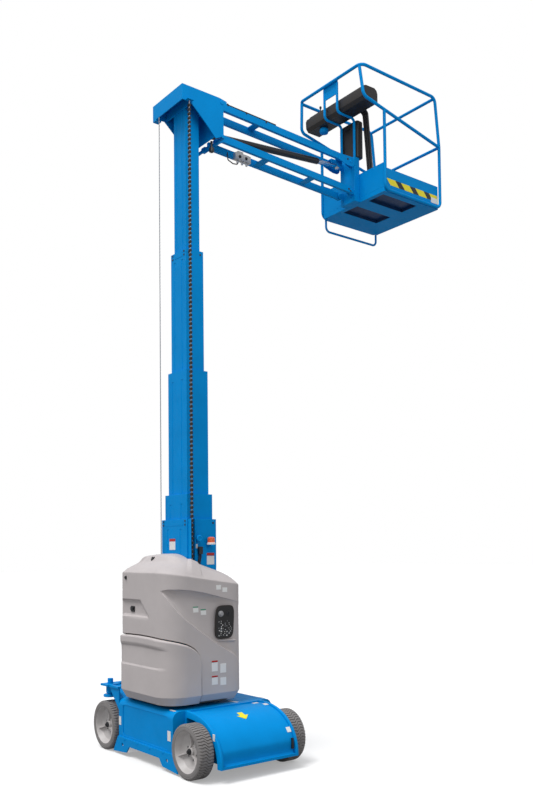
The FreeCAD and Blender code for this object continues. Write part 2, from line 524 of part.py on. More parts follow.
def turntable():
    node("slew_ring", rod("slew_ring_disc", "z", ("0", "0", "deck_top"), "ring_radius", "ring_high"))
    base_low = v.deck_top + v.ring_high
    inset = (v.house_wall + v.seat_gap
             + v.skirt_in * (v.skirt_top - base_low) / (v.skirt_top - v.house_low))
    plan = rounded(v.house_half - inset, v.house_rear - inset, v.house_front - inset, v.house_corner - inset,
                   base_low)
    node("turntable_base", feature("base_plate", Part.Face(plan).extrude(Vector(0, 0, v.base_thick))))
    node("counterweight", box("weight_block", ("-weight_half", "-house_rear + skirt_in + house_wall + 26",
                                               "deck_top + ring_high + base_thick"),
                              ("weight_half", "-house_rear + skirt_in + house_wall + 26 + weight_deep",
                               "deck_top + ring_high + base_thick + weight_high")))
    blocks = []
    for name, side in (("left", -1), ("right", 1)):
        inner = "tube_wide / 2 + trough_wide + 6"
        low, high = (inner, f"{inner} + pack_wide") if side > 0 else (f"-({inner} + pack_wide)", f"-({inner})")
        blocks.append(box(f"pack_{name}", (low, "-pack_long / 2 - 60", "deck_top + ring_high + base_thick"),
                          (high, "pack_long / 2 - 60", "deck_top + ring_high + base_thick + pack_high")))
    node("battery_pack", fuse("battery_pack_fuse", blocks))

    outer = house_solid(0, 0)
    inner = house_solid(v.house_wall, v.house_wall)
    shell = swept(outer.cut(inner))
    skirt_room = Part.Face(rounded(v.house_half - v.skirt_in - v.house_wall, v.house_rear - v.skirt_in - v.house_wall,
                                   v.house_front - v.skirt_in - v.house_wall,
                                   v.house_corner - v.skirt_in - v.house_wall,
                                   v.house_low - 5)).extrude(Vector(0, 0, 10))
    gap = 4
    mast_hole = Part.makeBox(v.tube_wide + 2 * gap, v.tube_deep + 2 * gap, 2500,
                             Vector(-v.tube_wide / 2 - gap, v.mast_mid - v.tube_deep / 2 - gap, v.house_low))
    chain_hole = Part.makeBox(v.trough_wide + 2 * gap + 10, v.trough_deep + 2 * gap + 6, 2500,
                              Vector(v.tube_wide / 2 - 5, v.chain_mid - v.trough_deep / 2 - gap, v.house_low))
    cable_hole = Part.makeBox(24, 40, 2500, Vector(v.cable_side - 12, -v.head_rear - 14, v.house_low))
    shell = shell.cut(skirt_room).cut(mast_hole).cut(chain_hole).cut(cable_hole)
    proud = v.door_proud
    tuck = v.skirt_in * (v.skirt_top - v.door_low) / (v.skirt_top - v.house_low)
    door_levels = ((v.door_low, -tuck), (v.skirt_top, proud * 0.3), (v.door_low + 130, proud * 0.8),
                   (v.door_side_top, proud), (v.door_top + 40, proud * 0.6))
    bulge_wires = [rounded(v.house_half + p, v.house_rear + p, v.house_front + p, v.house_corner + p, z)
                   for z, p in door_levels]
    bulge = Part.makeLoft(bulge_wires, True, True)
    hollow_wires = [rounded(v.house_half + p - v.house_wall, v.house_rear + p - v.house_wall,
                            v.house_front + p - v.house_wall, v.house_corner + p - v.house_wall, z)
                    for z, p in door_levels]
    hollow = Part.makeLoft(hollow_wires, True, True)
    door = bulge.cut(hollow).common(door_zone(0))
    node("lower_cover", feature("lower_cover_shell", door))
    shell = shell.cut(door_zone(v.door_gap))
    half = v.panel_wide / 2
    panel_zone = Part.makeBox(200, v.panel_wide, v.panel_high,
                              Vector(v.house_half - v.panel_deep, v.panel_mid - half, v.panel_low))
    shell = shell.cut(panel_zone)
    solids = sorted(shell.Solids, key=lambda s: -s.Volume)
    upper = solids[0]
    seam = Part.makeBox(v.door_gap, 2000, 3000, Vector(-v.door_gap / 2, -1000, 0))
    halves = sorted(upper.cut(seam).Solids, key=lambda s: -s.Volume)[:2]
    halves.sort(key=lambda s: s.CenterOfMass.x)
    node("cover_left", feature("cover_left_shell", halves[0]))
    node("cover_right", feature("cover_right_shell", halves[1]))
    desk = Part.makeBox(v.panel_deep - 8, v.panel_wide - 0.6, v.panel_high - 0.6,
                        Vector(v.house_half - v.panel_deep, v.panel_mid - half + 0.3, v.panel_low + 0.3))
    node("ground_controls", feature("ground_controls_box", desk))


# Mast: five box sections, each with a thick mouth that guides the next
def mast():
    # columns: name, step inward, low end, top
    table = (("mast_outer", 0, "outer_low", "outer_top"),
             ("mast_section_2", 1, "second_top - second_long", "second_top"),
             ("mast_section_3", 2, "third_top - third_long", "third_top"),
             ("mast_section_4", 3, "fourth_top - fourth_long", "fourth_top"),
             ("mast_section_5", 4, "fifth_top - fifth_long", "fifth_top"))
    for name, step, low, top in table:
        half_x = f"(tube_wide / 2 - {step} * step_wide / 2)"
        half_y = f"(tube_deep / 2 - {step} * step_deep / 2)"
        tube = box(f"{name}_outside", (f"-{half_x}", f"mast_mid - {half_y}", low), (half_x, f"mast_mid + {half_y}", top))
        wall_x = f"({half_x} - tube_wall)"
        wall_y = f"({half_y} - tube_wall)"
        bore = box(f"{name}_bore", (f"-{wall_x}", f"mast_mid - {wall_y}", f"({low}) - 1"),
                   (wall_x, f"mast_mid + {wall_y}", f"{top} - mouth_high" if step < 4 else f"{top} - tube_wall"))
        tools = [bore]
        if step < 4:
            next_x = f"(tube_wide / 2 - {step + 1} * step_wide / 2 + seat_gap)"
            next_y = f"(tube_deep / 2 - {step + 1} * step_deep / 2 + seat_gap)"
            tools.append(box(f"{name}_mouth", (f"-{next_x}", f"mast_mid - {next_y}", f"{top} - mouth_high - 1"),
                             (next_x, f"mast_mid + {next_y}", f"{top} + 1")))
        for index, place in enumerate((-1, 1)):
            mid = f"{place} * ({half_x} * 0.5)"
            tools.append(box(f"{name}_groove_{index}",
                             (f"{mid} - groove_wide / 2", f"mast_mid - {half_y} - 1", f"({low}) - 1"),
                             (f"{mid} + groove_wide / 2", f"mast_mid - {half_y} + groove_deep",
                              f"{top} - mouth_high - 20")))
        node(name, cut(f"{name}_cut", tube, tools))


def mast_fittings():
    left = v.tube_wide / 2 + 0.3
    mid = v.chain_mid
    deep = v.trough_deep
    wall = v.trough_wall
    trough = Part.makeBox(v.trough_wide, deep, v.outer_top - v.outer_low, Vector(left, mid - deep / 2, v.outer_low))
    room = Part.makeBox(v.trough_wide, deep - 2 * wall, v.outer_top - v.outer_low + 2,
                        Vector(left + wall, mid - deep / 2 + wall, v.outer_low - 1))
    node("carrier_trough", feature("carrier_trough_channel", trough.cut(room)))
    chain_left = left + v.chain_gap
    low = v.chain_low
    high = v.head_rear_low - v.seat_gap
    core = v.chain_core
    spine = Part.makeBox(v.chain_wide - 2 * core, v.chain_deep * 0.7 - 2 * core, high - low,
                         Vector(chain_left + core, mid - v.chain_deep * 0.35 + core, low))
    links = [Part.makeBox(v.chain_wide, v.chain_deep * 0.7, v.chain_link,
                          Vector(chain_left, mid - v.chain_deep * 0.35, low + v.chain_pitch * number))
             for number in range(int((high - low) / v.chain_pitch))]
    node("cable_carrier", feature("cable_carrier_chain", spine.fuse(links)))
    cable_y = -v.head_rear + v.head_plate / 2
    node("level_cable", feature("level_cable_wire", bar(Vector(v.cable_side, cable_y, v.cable_low),
                                                        Vector(v.cable_side, cable_y, high), v.cable_radius)))
    beacon = Part.makeCylinder(32, 14, Vector(v.tube_wide / 2 + 45, 20, 1722))
    beacon = beacon.fuse(Part.makeCylinder(27, 46, Vector(v.tube_wide / 2 + 45, 20, 1736)))
    arm = Part.makeBox(60, 40, 12, Vector(v.tube_wide / 2 + 0.3, 0, 1710))
    node("warning_beacon", feature("warning_beacon_lamp", beacon.fuse(arm)))


# Mast head: two side plates, rear beam, top and front wrap plates, and pivot stubs
def head():
    inner = v.tube_wide / 2 + v.head_gap
    outer = inner + v.head_plate
    top = v.head_top
    outline = [(-v.head_rear, top), (158, top - 3), (v.ear_out, top - 15), (v.ear_out, top - 62), (v.head_front, top - 95),
               (v.head_front, 5170), (120, v.head_front_low), (20, 5230), (-80, 5320), (-130, v.head_rear_low),
               (-v.head_rear, v.head_rear_low)]
    parts = [side_prism(outline, inner, outer), side_prism(outline, -outer, -inner)]
    fifth_y = v.tube_deep / 2 - 2 * v.step_deep
    plate = v.head_plate
    wide = 2 * inner
    front = v.mast_mid + fifth_y + v.seat_gap
    back = v.mast_mid - fifth_y - v.seat_gap
    # columns: lowest corner y and z, depth, height of each cross plate
    for y, z, deep, high in ((-v.head_rear, top - plate, v.head_rear + v.front_plate, plate),
                             (-v.head_rear, v.head_rear_low, plate, top - v.head_rear_low),
                             (back - plate, v.head_rear_low, plate, top - v.head_rear_low),
                             (front, v.wrap_low, v.wrap_front - front, top - v.wrap_low),
                             (v.front_plate, v.head_front_low + 10, plate, top - 60 - v.head_front_low)):
        parts.append(Part.makeBox(wide, deep, high, Vector(-inner, y, z)))
    parts.append(Part.makeBox(v.beam_tab, v.beam_tab, top - v.head_rear_low + 10,
                              Vector(-outer - v.beam_tab, -v.head_rear, v.head_rear_low - 10)))
    parts.append(Part.makeBox(v.anchor_wide, 2 * v.chain_deep, plate,
                              Vector(outer - 1, v.chain_mid - v.chain_deep, v.head_rear_low)))
    stub_in = v.lug_mid + v.lug_thick / 2 - 2
    fork = v.barrel_radius + 8
    for side in (1, -1):
        for out, up in ((v.top_pivot_out, v.top_pivot_up), (v.low_pivot_out, v.low_pivot_up)):
            parts.append(bar(Vector(side * stub_in, out, up), Vector(side * inner, out, up), v.hub_pin))
        low = side * fork if side > 0 else -fork - plate
        ear = [(v.front_plate + 2, v.base_pin_up - 42), (v.front_plate + 2, v.base_pin_up + 42),
               (v.base_pin_out + 26, v.base_pin_up + 16), (v.base_pin_out + 26, v.base_pin_up - 16)]
        parts.append(side_prism(ear, low, low + plate))
    parts.append(bar(Vector(-fork - 2, v.base_pin_out, v.base_pin_up), Vector(fork + 2, v.base_pin_out, v.base_pin_up),
                     12))
    shape = parts[0]
    shape = shape.fuse(parts[1:]).removeSplitter()
    node("mast_head", feature("mast_head_weld", shape))


# Jib: two arms of paired rails, the cylinder between them
def arm(pivot, rise_in, rise_out, start_out, end_out, webs, web_side):
    out_pivot = pivot + Vector(0, v.link_reach, -v.link_drop)
    slope = (out_pivot.z + rise_out - pivot.z - rise_in) / v.link_reach
    half = v.rail_high / 2

    def centre(y):
        return pivot.z + rise_in + slope * (y - pivot.y)
    parts = []
    for side in (1, -1):
        low = side * v.rail_mid - v.rail_wide / 2
        high = low + v.rail_wide
        y0 = pivot.y + start_out
        y1 = out_pivot.y + end_out
        parts.append(side_prism([(y0, centre(y0) - half), (y1, centre(y1) - half), (y1, centre(y1) + half),
                                 (y0, centre(y0) + half)], low, high))
        for spot in (pivot, out_pivot):
            parts.append(Part.makeCylinder(v.hub_out, v.rail_wide, Vector(low, spot.y, spot.z), X_AXIS))
        parts.append(side_prism([(pivot.y - v.hub_out, pivot.z), (pivot.y, pivot.z - v.hub_out),
                                 (pivot.y + 80, centre(y0) - half + 8), (y0, centre(y0))], low, high))
    for y in webs:
        z = centre(y) + (half - v.web_thick - 4 if web_side > 0 else 4 - half)
        parts.append(Part.makeBox(2 * v.rail_mid, 70, v.web_thick, Vector(-v.rail_mid, y - 35, z)))
    shape = parts[0].fuse(parts[1:])
    holes = []
    for side in (1, -1):
        for spot in (pivot, out_pivot):
            holes.append(Part.makeCylinder(v.hub_pin + v.turn_gap, v.rail_wide + 2,
                                           Vector(side * v.rail_mid - v.rail_wide / 2 - 1, spot.y, spot.z), X_AXIS))
    return shape.cut(holes), centre


def jib():
    top = Vector(0, v.top_pivot_out, v.top_pivot_up)
    low = Vector(0, v.low_pivot_out, v.low_pivot_up)
    shape, centre = arm(top, v.top_rise, v.rail_rise_out, v.rail_start, -6, (v.top_web_out,), 1)
    eye = top + Vector(0, v.link_reach - v.eye_back, -v.link_drop - v.eye_drop)
    fork = []
    for side in (1, -1):
        near = v.eye_wide / 2 + 1
        inner = side * near if side > 0 else -near - v.fork_thick
        fork.append(side_prism([(eye.y - 30, eye.z - 26), (eye.y + 22, eye.z - 26), (eye.y + 22, centre(eye.y) + 30),
                                (eye.y - 60, centre(eye.y) + 30), (eye.y - 60, eye.z + 20)], inner, inner + v.fork_thick))
        fork.append(Part.makeBox(v.rail_mid - near, 82, v.web_thick,
                                 Vector(near if side > 0 else -v.rail_mid, eye.y - 60,
                                        centre(eye.y) + v.rail_high / 2 - v.web_thick)))
    shape = shape.fuse(fork).removeSplitter()
    hoses = []
    for shift in (-8, 8):
        start = Vector(v.rail_mid + shift, top.y + 60, centre(top.y + 60) + v.rail_high / 2 + 7.5)
        end = Vector(v.rail_mid + shift, top.y + 660, centre(top.y + 660) + v.rail_high / 2 + 7.5)
        hoses.append(bar(start, end, 7))
    node("jib_hoses", feature("jib_hoses_pair", Part.makeCompound(hoses)))
    node("jib_upper_arm", feature("jib_upper_arm_weld", shape))
    shape, centre = arm(low, v.low_rise, v.rail_rise_out, v.rail_start, -6, (v.low_web_out, v.low_web_far), -1)
    node("jib_lower_arm", feature("jib_lower_arm_weld", shape.removeSplitter()))
    valve_y = 500
    valve = Part.makeBox(38, 170, 62, Vector(-v.rail_mid + v.rail_wide / 2 + v.seat_gap, valve_y,
                                             centre(valve_y + 85) - 46))
    for shift in (20, 70, 120):
        valve = valve.fuse(Part.makeCylinder(14, 30, Vector(-v.rail_mid + v.rail_wide / 2 + 19, valve_y + shift + 15,
                                                            centre(valve_y + 85) - 74), Z_AXIS))
    node("jib_valve", feature("jib_valve_block", valve))
    base = Vector(0, v.base_pin_out, v.base_pin_up)
    along = (eye - base).normalize()
    total = (eye - base).Length
    barrel_long = total - v.barrel_short
    barrel = bar(base + along * 20, base + along * barrel_long, v.barrel_radius)
    barrel = barrel.fuse(Part.makeCylinder(v.barrel_radius, 2 * v.barrel_radius, base - X_AXIS * v.barrel_radius,
                                           X_AXIS))
    barrel = barrel.cut(Part.makeCylinder(12 + v.turn_gap, 80, base - X_AXIS * 40, X_AXIS))
    bore = bar(base + along * 120, base + along * (barrel_long + 5), v.rod_radius + v.turn_gap)
    node("jib_cylinder_barrel", feature("jib_cylinder_barrel_tube", barrel.cut(bore)))
    rod_start = base + along * (total - v.rod_long)
    shaft = bar(rod_start, eye - along * 10, v.rod_radius)
    knuckle = Part.makeCylinder(v.eye_radius, v.eye_wide, eye - X_AXIS * (v.eye_wide / 2), X_AXIS)
    node("jib_cylinder_rod", feature("jib_cylinder_rod_bar", shaft.fuse(knuckle)))


# Platform: bracket, floor, rails, boards, step, console and box
def platform():
    out_top = Vector(0, v.top_pivot_out + v.link_reach, v.top_pivot_up - v.link_drop)
    out_low = Vector(0, v.low_pivot_out + v.link_reach, v.low_pivot_up - v.link_drop)
    pin_line = out_low.y
    cage_in = pin_line - v.cage_back
    cage_out = pin_line + v.cage_reach
    floor_in = pin_line + v.floor_reach
    bracket_in = pin_line + v.bracket_reach
    bracket_top = v.floor_low + v.bracket_high
    stand_out = pin_line + v.stand_reach
    drop_low = v.top_rail - v.drop_fall
    mid_joint = v.top_rail - v.mid_fall
    stand_bend = v.top_rail - v.stand_fall
    desk_in = pin_line - v.desk_back
    desk_out = pin_line + v.desk_reach
    half = v.bracket_half
    parts = [Part.makeBox(2 * half, floor_in - v.seat_gap - bracket_in, v.bracket_high,
                          Vector(-half, bracket_in, v.floor_low))]
    for side in (1, -1):
        inner = side * v.lug_mid - v.lug_thick / 2
        for spot in (out_top, out_low):
            parts.append(side_prism([(spot.y, spot.z - 28), (bracket_in + 5, spot.z - 44),
                                     (bracket_in + 5, spot.z + 44), (spot.y, spot.z + 28)], inner, inner + v.lug_thick))
            parts.append(Part.makeCylinder(28, v.lug_thick, Vector(inner, spot.y, spot.z), X_AXIS))
            end = side * (v.rail_mid + v.rail_wide / 2 + 6)
            parts.append(bar(Vector(inner + v.lug_thick / 2, spot.y, spot.z), Vector(end, spot.y, spot.z), v.hub_pin))
    node("platform_bracket", feature("platform_bracket_weld", parts[0].fuse(parts[1:]).removeSplitter()))

    floor_top = v.floor_low + v.floor_thick
    wide = v.cage_half
    reach = "low_pivot_out + link_reach"
    plate = box("floor_plate", ("-cage_half + tube_radius + seat_gap", f"{reach} + floor_reach", "floor_low"),
                ("cage_half - tube_radius - seat_gap", f"{reach} + cage_reach - tube_radius - seat_gap",
                 "floor_low + floor_thick"))
    channels = [box(f"floor_channel_{name}", (start, f"{reach} + floor_reach + channel_start", "floor_low - 1"),
                    (f"{start} + channel_wide", f"{reach} + floor_reach + channel_start + channel_long",
                     "floor_low + channel_sunk"))
                for name, start in (("left", "channel_left"), ("right", "channel_right"))]
    node("platform_floor", cut("floor_tray", plate, channels))
    r = v.tube_radius
    gap = v.seat_gap
    inside = wide - r - gap
    node("kick_panel", feature("kick_panel_plate", Part.makeBox(
        2 * inside, v.kick_thick, v.kick_high - v.floor_thick, Vector(-inside, floor_in, floor_top))))
    toe_rise = v.toe_high - v.floor_thick
    toe_end = cage_out - r - gap - v.toe_thick
    toes = [Part.makeBox(2 * inside, v.toe_thick, toe_rise, Vector(-inside, toe_end, floor_top))]
    for side in (1, -1):
        x = side * inside - (v.toe_thick if side > 0 else 0)
        toes.append(Part.makeBox(v.toe_thick, toe_end - floor_in - v.kick_thick - gap, toe_rise,
                                 Vector(x, floor_in + v.kick_thick + gap, floor_top)))
    node("toe_boards", feature("toe_boards_plates", toes[0].fuse(toes[1:])))

    bend = v.bend_round
    lean = cage_out - v.cage_lean
    share = (floor_in - cage_in) / (cage_out - cage_in)
    post_top = drop_low + (mid_joint - drop_low) * share
    for name, side in (("left", -1), ("right", 1)):
        x = side * wide
        loop = bent_tube([Vector(x, cage_in - r, v.top_rail), Vector(x, lean, v.top_rail),
                          Vector(x, cage_out, mid_joint), Vector(x, cage_out, v.floor_low + r),
                          Vector(x, floor_in, v.floor_low + r), Vector(x, floor_in, post_top)], r, bend)
        brace = bent_tube([Vector(side * (wide - 2 * r), cage_in, v.top_rail - r - 8 * gap),
                           Vector(x, cage_in + 24, drop_low), Vector(x, cage_out, mid_joint)], r, bend)
        node(f"guard_rail_{name}", feature(f"guard_rail_{name}_weld", loop.fuse(brace)))
    across = wide - r - gap
    # columns: y and z of each rail that runs across
    cross = [bar(Vector(-across, y, z), Vector(across, y, z), r)
             for y, z in ((cage_in, v.top_rail), (lean - 14, v.top_rail - 16), (cage_out, mid_joint))]
    node("guard_rail_crossbars", feature("guard_rail_cross_tubes", Part.makeCompound(cross)))

    x = -wide
    step = bent_tube([Vector(x + r, floor_in + 30, v.floor_low - 0.3), Vector(x + r, floor_in + 30, v.floor_low - v.step_fall),
                      Vector(x + r, cage_out - 29, v.floor_low - v.step_fall), Vector(x + r, cage_out - 29, v.floor_low - 0.3)],
                     11, 50)
    node("entry_step", feature("entry_step_loop", step))
    node("entry_bar", feature("entry_bar_tube", bar(Vector(x, floor_in + r + gap, v.floor_low + v.entry_rise),
                                                    Vector(x, cage_out - r - gap, v.floor_low + v.entry_rise), 12)))
    stand = []
    for side in (1, -1):
        sx = side * v.stand_half
        stand.append(bent_tube([Vector(sx, cage_in + 20, v.top_rail - 20), Vector(sx, cage_in + 20, stand_bend),
                                Vector(sx, stand_out, stand_bend), Vector(sx, stand_out, bracket_top + 0.3)],
                               v.stand_radius, 40))
    stand.append(Part.makeBox(2 * v.stand_half + 20, 8, v.stand_plate,
                              Vector(-v.stand_half - 10, cage_in + r + gap, v.top_rail - v.stand_plate)))
    node("console_stand", feature("console_stand_weld", stand[0].fuse(stand[1:])))
    desk_low = stand_bend + v.stand_radius + gap
    desk = Part.makeBox(v.desk_right - v.desk_left, desk_out - desk_in, v.desk_high,
                        Vector(v.desk_left, desk_in, desk_low))
    long_edges = [e for e in desk.Edges if e.BoundBox.XLength > 100]
    upper = [e for e in long_edges if e.BoundBox.ZMin > desk_low + 10]
    desk = desk.makeFillet(v.desk_round, upper)
    lower = [e for e in desk.Edges if e.BoundBox.XLength > 100 and e.BoundBox.ZMax < desk_low + 1]
    node("control_console", feature("control_console_box", desk.makeFillet(v.desk_foot, lower)))
    doc_box = Part.makeBox(v.box_right - v.box_left, v.box_deep, v.box_high, Vector(v.box_left, pin_line + v.box_reach, bracket_top + gap))
    edges = [e for e in doc_box.Edges if abs(e.BoundBox.ZLength) > 100]
    node("document_box", feature("document_box_case", doc_box.makeFillet(22, edges)))
    hoses = []
    for index in range(3):
        foot = Vector(v.box_right + 92 + 26 * index, floor_in + 34, floor_top + 1.5)
        turn = Vector(v.box_right + 14 + 26 * index, floor_in + 34, desk_low + v.desk_high / 2)
        plug = Vector(turn.x, desk_out + gap, turn.z)
        hoses.append(bent_tube([foot, turn, plug], 11, 50))
    node("hose_bundle", feature("hose_bundle_lines", Part.makeCompound(hoses)))


chassis()
side_guards()
end_cover()
running_gear()
knuckles()
wheels()
doc.recompute()
turntable()
mast()
mast_fittings()
doc.recompute()
head()
jib()
platform()
doc.recompute()

for obj in doc.Objects:
    if "Invalid" in obj.State or "Error" in obj.State:
        raise RuntimeError(f"{obj.Name} failed: {obj.State}")
for label, obj in NODES.items():
    if obj.Shape.isNull() or not obj.Shape.isValid():
        raise RuntimeError(f"{label} has no valid shape")
os.makedirs("parts", exist_ok=True)
for label, obj in NODES.items():
    obj.Shape.exportStep(f"parts/{label}.step")
    print(label, len(obj.Shape.Solids), round(obj.Shape.Volume / 1e6, 3))
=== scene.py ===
import random
from math import copysign, cos, pi, radians, sin, sqrt, tan

import bmesh
import bpy
from mathutils import Matrix, Vector


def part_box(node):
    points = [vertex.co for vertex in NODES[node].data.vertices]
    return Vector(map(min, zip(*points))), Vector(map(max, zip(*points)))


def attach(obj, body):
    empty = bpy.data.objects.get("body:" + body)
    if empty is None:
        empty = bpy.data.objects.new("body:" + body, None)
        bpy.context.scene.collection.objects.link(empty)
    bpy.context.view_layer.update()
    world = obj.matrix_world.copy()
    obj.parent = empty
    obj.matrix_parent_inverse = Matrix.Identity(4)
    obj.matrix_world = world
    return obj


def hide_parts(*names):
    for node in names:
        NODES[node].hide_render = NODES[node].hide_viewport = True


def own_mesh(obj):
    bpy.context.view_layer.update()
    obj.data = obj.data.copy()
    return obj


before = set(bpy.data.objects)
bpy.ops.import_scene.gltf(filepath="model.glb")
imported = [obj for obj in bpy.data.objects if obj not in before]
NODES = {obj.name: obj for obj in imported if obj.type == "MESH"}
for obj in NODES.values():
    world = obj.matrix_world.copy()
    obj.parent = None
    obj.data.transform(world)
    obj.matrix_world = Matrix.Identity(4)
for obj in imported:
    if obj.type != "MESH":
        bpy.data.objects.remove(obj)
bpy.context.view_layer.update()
X = Vector((1, 0, 0))
Y = Vector((0, 1, 0))
Z = Vector((0, 0, 1))


def add(name, data):
    obj = bpy.data.objects.new(name, data)
    bpy.context.scene.collection.objects.link(obj)
    return obj


# Camera at the photograph's place: height of the photograph and focal length in pixels, sensor in millimetres
PHOTO_HEIGHT, FOCAL, SENSOR = 800, 847.34, 36


def camera():
    yaw, pitch, roll = (radians(a) for a in (142.12, 2.493, -0.594))
    ahead = Vector((cos(pitch) * cos(yaw), cos(pitch) * sin(yaw), sin(pitch)))
    right = Vector((sin(yaw), -cos(yaw), 0))
    up = right.cross(ahead)
    tilted = right * cos(roll) + up * sin(roll)
    upright = -right * sin(roll) + up * cos(roll)
    data = bpy.data.cameras.new("camera")
    data.sensor_width = SENSOR
    data.lens = FOCAL * SENSOR / PHOTO_HEIGHT
    data.shift_x = 0.687 / PHOTO_HEIGHT
    data.shift_y = 112.487 / PHOTO_HEIGHT
    data.clip_end = 100
    eye = add("camera", data)
    turn = Matrix((tilted, upright, -ahead)).transposed().to_4x4()
    eye.matrix_world = Matrix.Translation(Vector((5.946, -3.854, 1.678))) @ turn
    bpy.context.scene.camera = eye


camera()


def wire_up(tree, made, values=(), links=()):
    """Sets constants on a node's sockets, and links outputs into others."""
    for key, value in dict(values).items():
        made.inputs[key].default_value = value
    for key, output in dict(links).items():
        tree.links.new(output, made.inputs[key])


def node(tree, kind, values=(), links=(), **settings):
    made = tree.nodes.new("ShaderNode" + kind)
    for key, value in settings.items():
        setattr(made, key, value)
    wire_up(tree, made, values, links)
    return made


# Materials: colour that drifts, fine grain in the surface, and edges made lighter, partly as wear and partly as a
# painted highlight
def surface(name, colour, rough, drift, grain, bump, edge_wear_and_highlight=0.0, metal=0.0, worn_and_lit_edge=None, coat=0.0, dirt=0.0, gloss=0.5):
    mat = bpy.data.materials.new(name)
    mat.use_nodes = True
    tree = mat.node_tree
    place = node(tree, "TexCoord").outputs["Object"]

    def noise(scale, detail=4.0):
        return node(tree, "TexNoise", {"Scale": scale, "Detail": detail}, {"Vector": place}).outputs["Fac"]

    def ranged(value, low, high, out_low, out_high):
        limits = {"From Min": low, "From Max": high, "To Min": out_low, "To Max": out_high}
        return node(tree, "MapRange", limits, {"Value": value}).outputs["Result"]

    def mixed(factor, first, second):
        values, links = {}, {"Factor": factor}
        for socket, value in ((6, first), (7, second)):
            if isinstance(value, tuple):
                values[socket] = (*value, 1)
            else:
                links[socket] = value
        return node(tree, "Mix", values, links, data_type="RGBA").outputs[2]

    def times(first, second):
        return node(tree, "Math", {}, {0: first, 1: second}, operation="MULTIPLY").outputs[0]
    darker = tuple(c * (1 - drift) for c in colour)
    lighter = tuple(min(1.0, c * (1 + drift)) for c in colour)
    base = mixed(ranged(noise(5.0), 0.3, 0.7, 0, 1), darker, lighter)
    speck = ranged(noise(grain * 0.4, 2.0), 0.35, 0.65, 0, 1)
    base = mixed(times(speck, ranged(noise(40.0), 0.2, 0.8, 0.1, 0.5)), base, darker)
    if dirt:
        base = mixed(ranged(noise(9.0, 8.0), 0.52, 0.75, 0, dirt), base, (0.16, 0.14, 0.12))
    # Edges lighter in patches: wear, and also a painted highlight along the rounded edges
    if edge_wear_and_highlight:
        rounded = node(tree, "Bevel", {"Radius": 0.003}, samples=4).outputs[0]
        flat = node(tree, "NewGeometry").outputs["Normal"]
        dot = node(tree, "VectorMath", {}, {0: rounded, 1: flat}, operation="DOT_PRODUCT").outputs["Value"]
        wear_and_highlight_mask = times(ranged(dot, 0.97, 0.8, 0, 1), ranged(noise(60.0, 6.0), 0.45, 0.6, 0, edge_wear_and_highlight))
        base = mixed(wear_and_highlight_mask, base, worn_and_lit_edge or tuple(min(1.0, c * 1.5 + 0.08) for c in colour))
    uneven = ranged(noise(30.0, 6.0), 0.3, 0.7, max(rough - 0.07, 0.02), min(rough + 0.07, 1))
    raised = node(tree, "Bump", {"Strength": bump, "Distance": 0.001}, {"Height": noise(grain, 3.0)})
    wire_up(tree, tree.nodes["Principled BSDF"],
            {"Metallic": metal, "Coat Weight": coat, "Coat Roughness": 0.12, "Specular IOR Level": gloss},
            {"Base Color": base, "Roughness": uneven, "Normal": raised.outputs["Normal"]})
    return mat


# columns: name, colour, roughness, drift of the colour, fineness and height of the grain, lightening of the edges as
# wear and painted highlight
BLUE = surface("blue_paint_look", (0.0, 0.262, 0.67), 0.45, 0.06, 450, 0.06, 0.3, worn_and_lit_edge=(0.02, 0.42, 0.9), gloss=0.06)
COVER = surface("cover_look", (0.51, 0.468, 0.462), 0.6, 0.04, 1400, 0.35, 0.2, gloss=0.35)
TYRE = surface("tyre_look", (0.235, 0.222, 0.218), 0.85, 0.14, 700, 0.3, 0.5, worn_and_lit_edge=(0.36, 0.34, 0.33), dirt=0.3,
               gloss=0.15)
RIM = surface("rim_look", (0.5, 0.475, 0.465), 0.5, 0.08, 500, 0.1, 0.4, dirt=0.25)
PLASTIC = surface("black_plastic_look", (0.022, 0.018, 0.016), 0.45, 0.2, 1300, 0.4, 0.3, worn_and_lit_edge=(0.09, 0.08, 0.075))
HOSE = surface("hose_look", (0.017, 0.014, 0.013), 0.55, 0.25, 1500, 0.3)
DARK = surface("dark_iron_look", (0.035, 0.036, 0.04), 0.5, 0.2, 400, 0.25, 0.4, metal=0.4, worn_and_lit_edge=(0.16, 0.16, 0.16))
BLACK = surface("black_paint_look", (0.012, 0.012, 0.013), 0.35, 0.2, 500, 0.08, 0.4, worn_and_lit_edge=(0.1, 0.1, 0.1), coat=0.2)
CHROME = surface("chrome_look", (0.72, 0.72, 0.73), 0.14, 0.05, 300, 0.02, metal=1)
ALLOY = surface("alloy_look", (0.6, 0.59, 0.58), 0.38, 0.1, 500, 0.2, metal=0.9)
WIRE = surface("wire_look", (0.36, 0.36, 0.37), 0.45, 0.15, 900, 0.5, metal=0.8)
LAMP = surface("lamp_look", (0.86, 0.13, 0.02), 0.22, 0.1, 200, 0.02, coat=0.6)
RING = surface("ring_look", (0.09, 0.09, 0.095), 0.45, 0.2, 500, 0.2, metal=0.6)
# Dark navy for the insides of the floor's channels: painted shade, standing for their shadow
CHANNEL_SHADE = surface("deck_look", (0.0, 0.035, 0.13), 0.5, 0.12, 300, 0.2, dirt=0.2)
WHITE = surface("plate_white_look", (0.78, 0.78, 0.77), 0.4, 0.04, 800, 0.05)
YELLOW = surface("plate_yellow_look", (0.86, 0.74, 0.02), 0.4, 0.04, 800, 0.05)
GREEN = surface("plate_green_look", (0.05, 0.3, 0.18), 0.4, 0.05, 800, 0.05)
RED = surface("button_red_look", (0.5, 0.02, 0.015), 0.35, 0.05, 600, 0.05)
GREY = surface("trim_grey_look", (0.3, 0.3, 0.31), 0.5, 0.08, 700, 0.1)

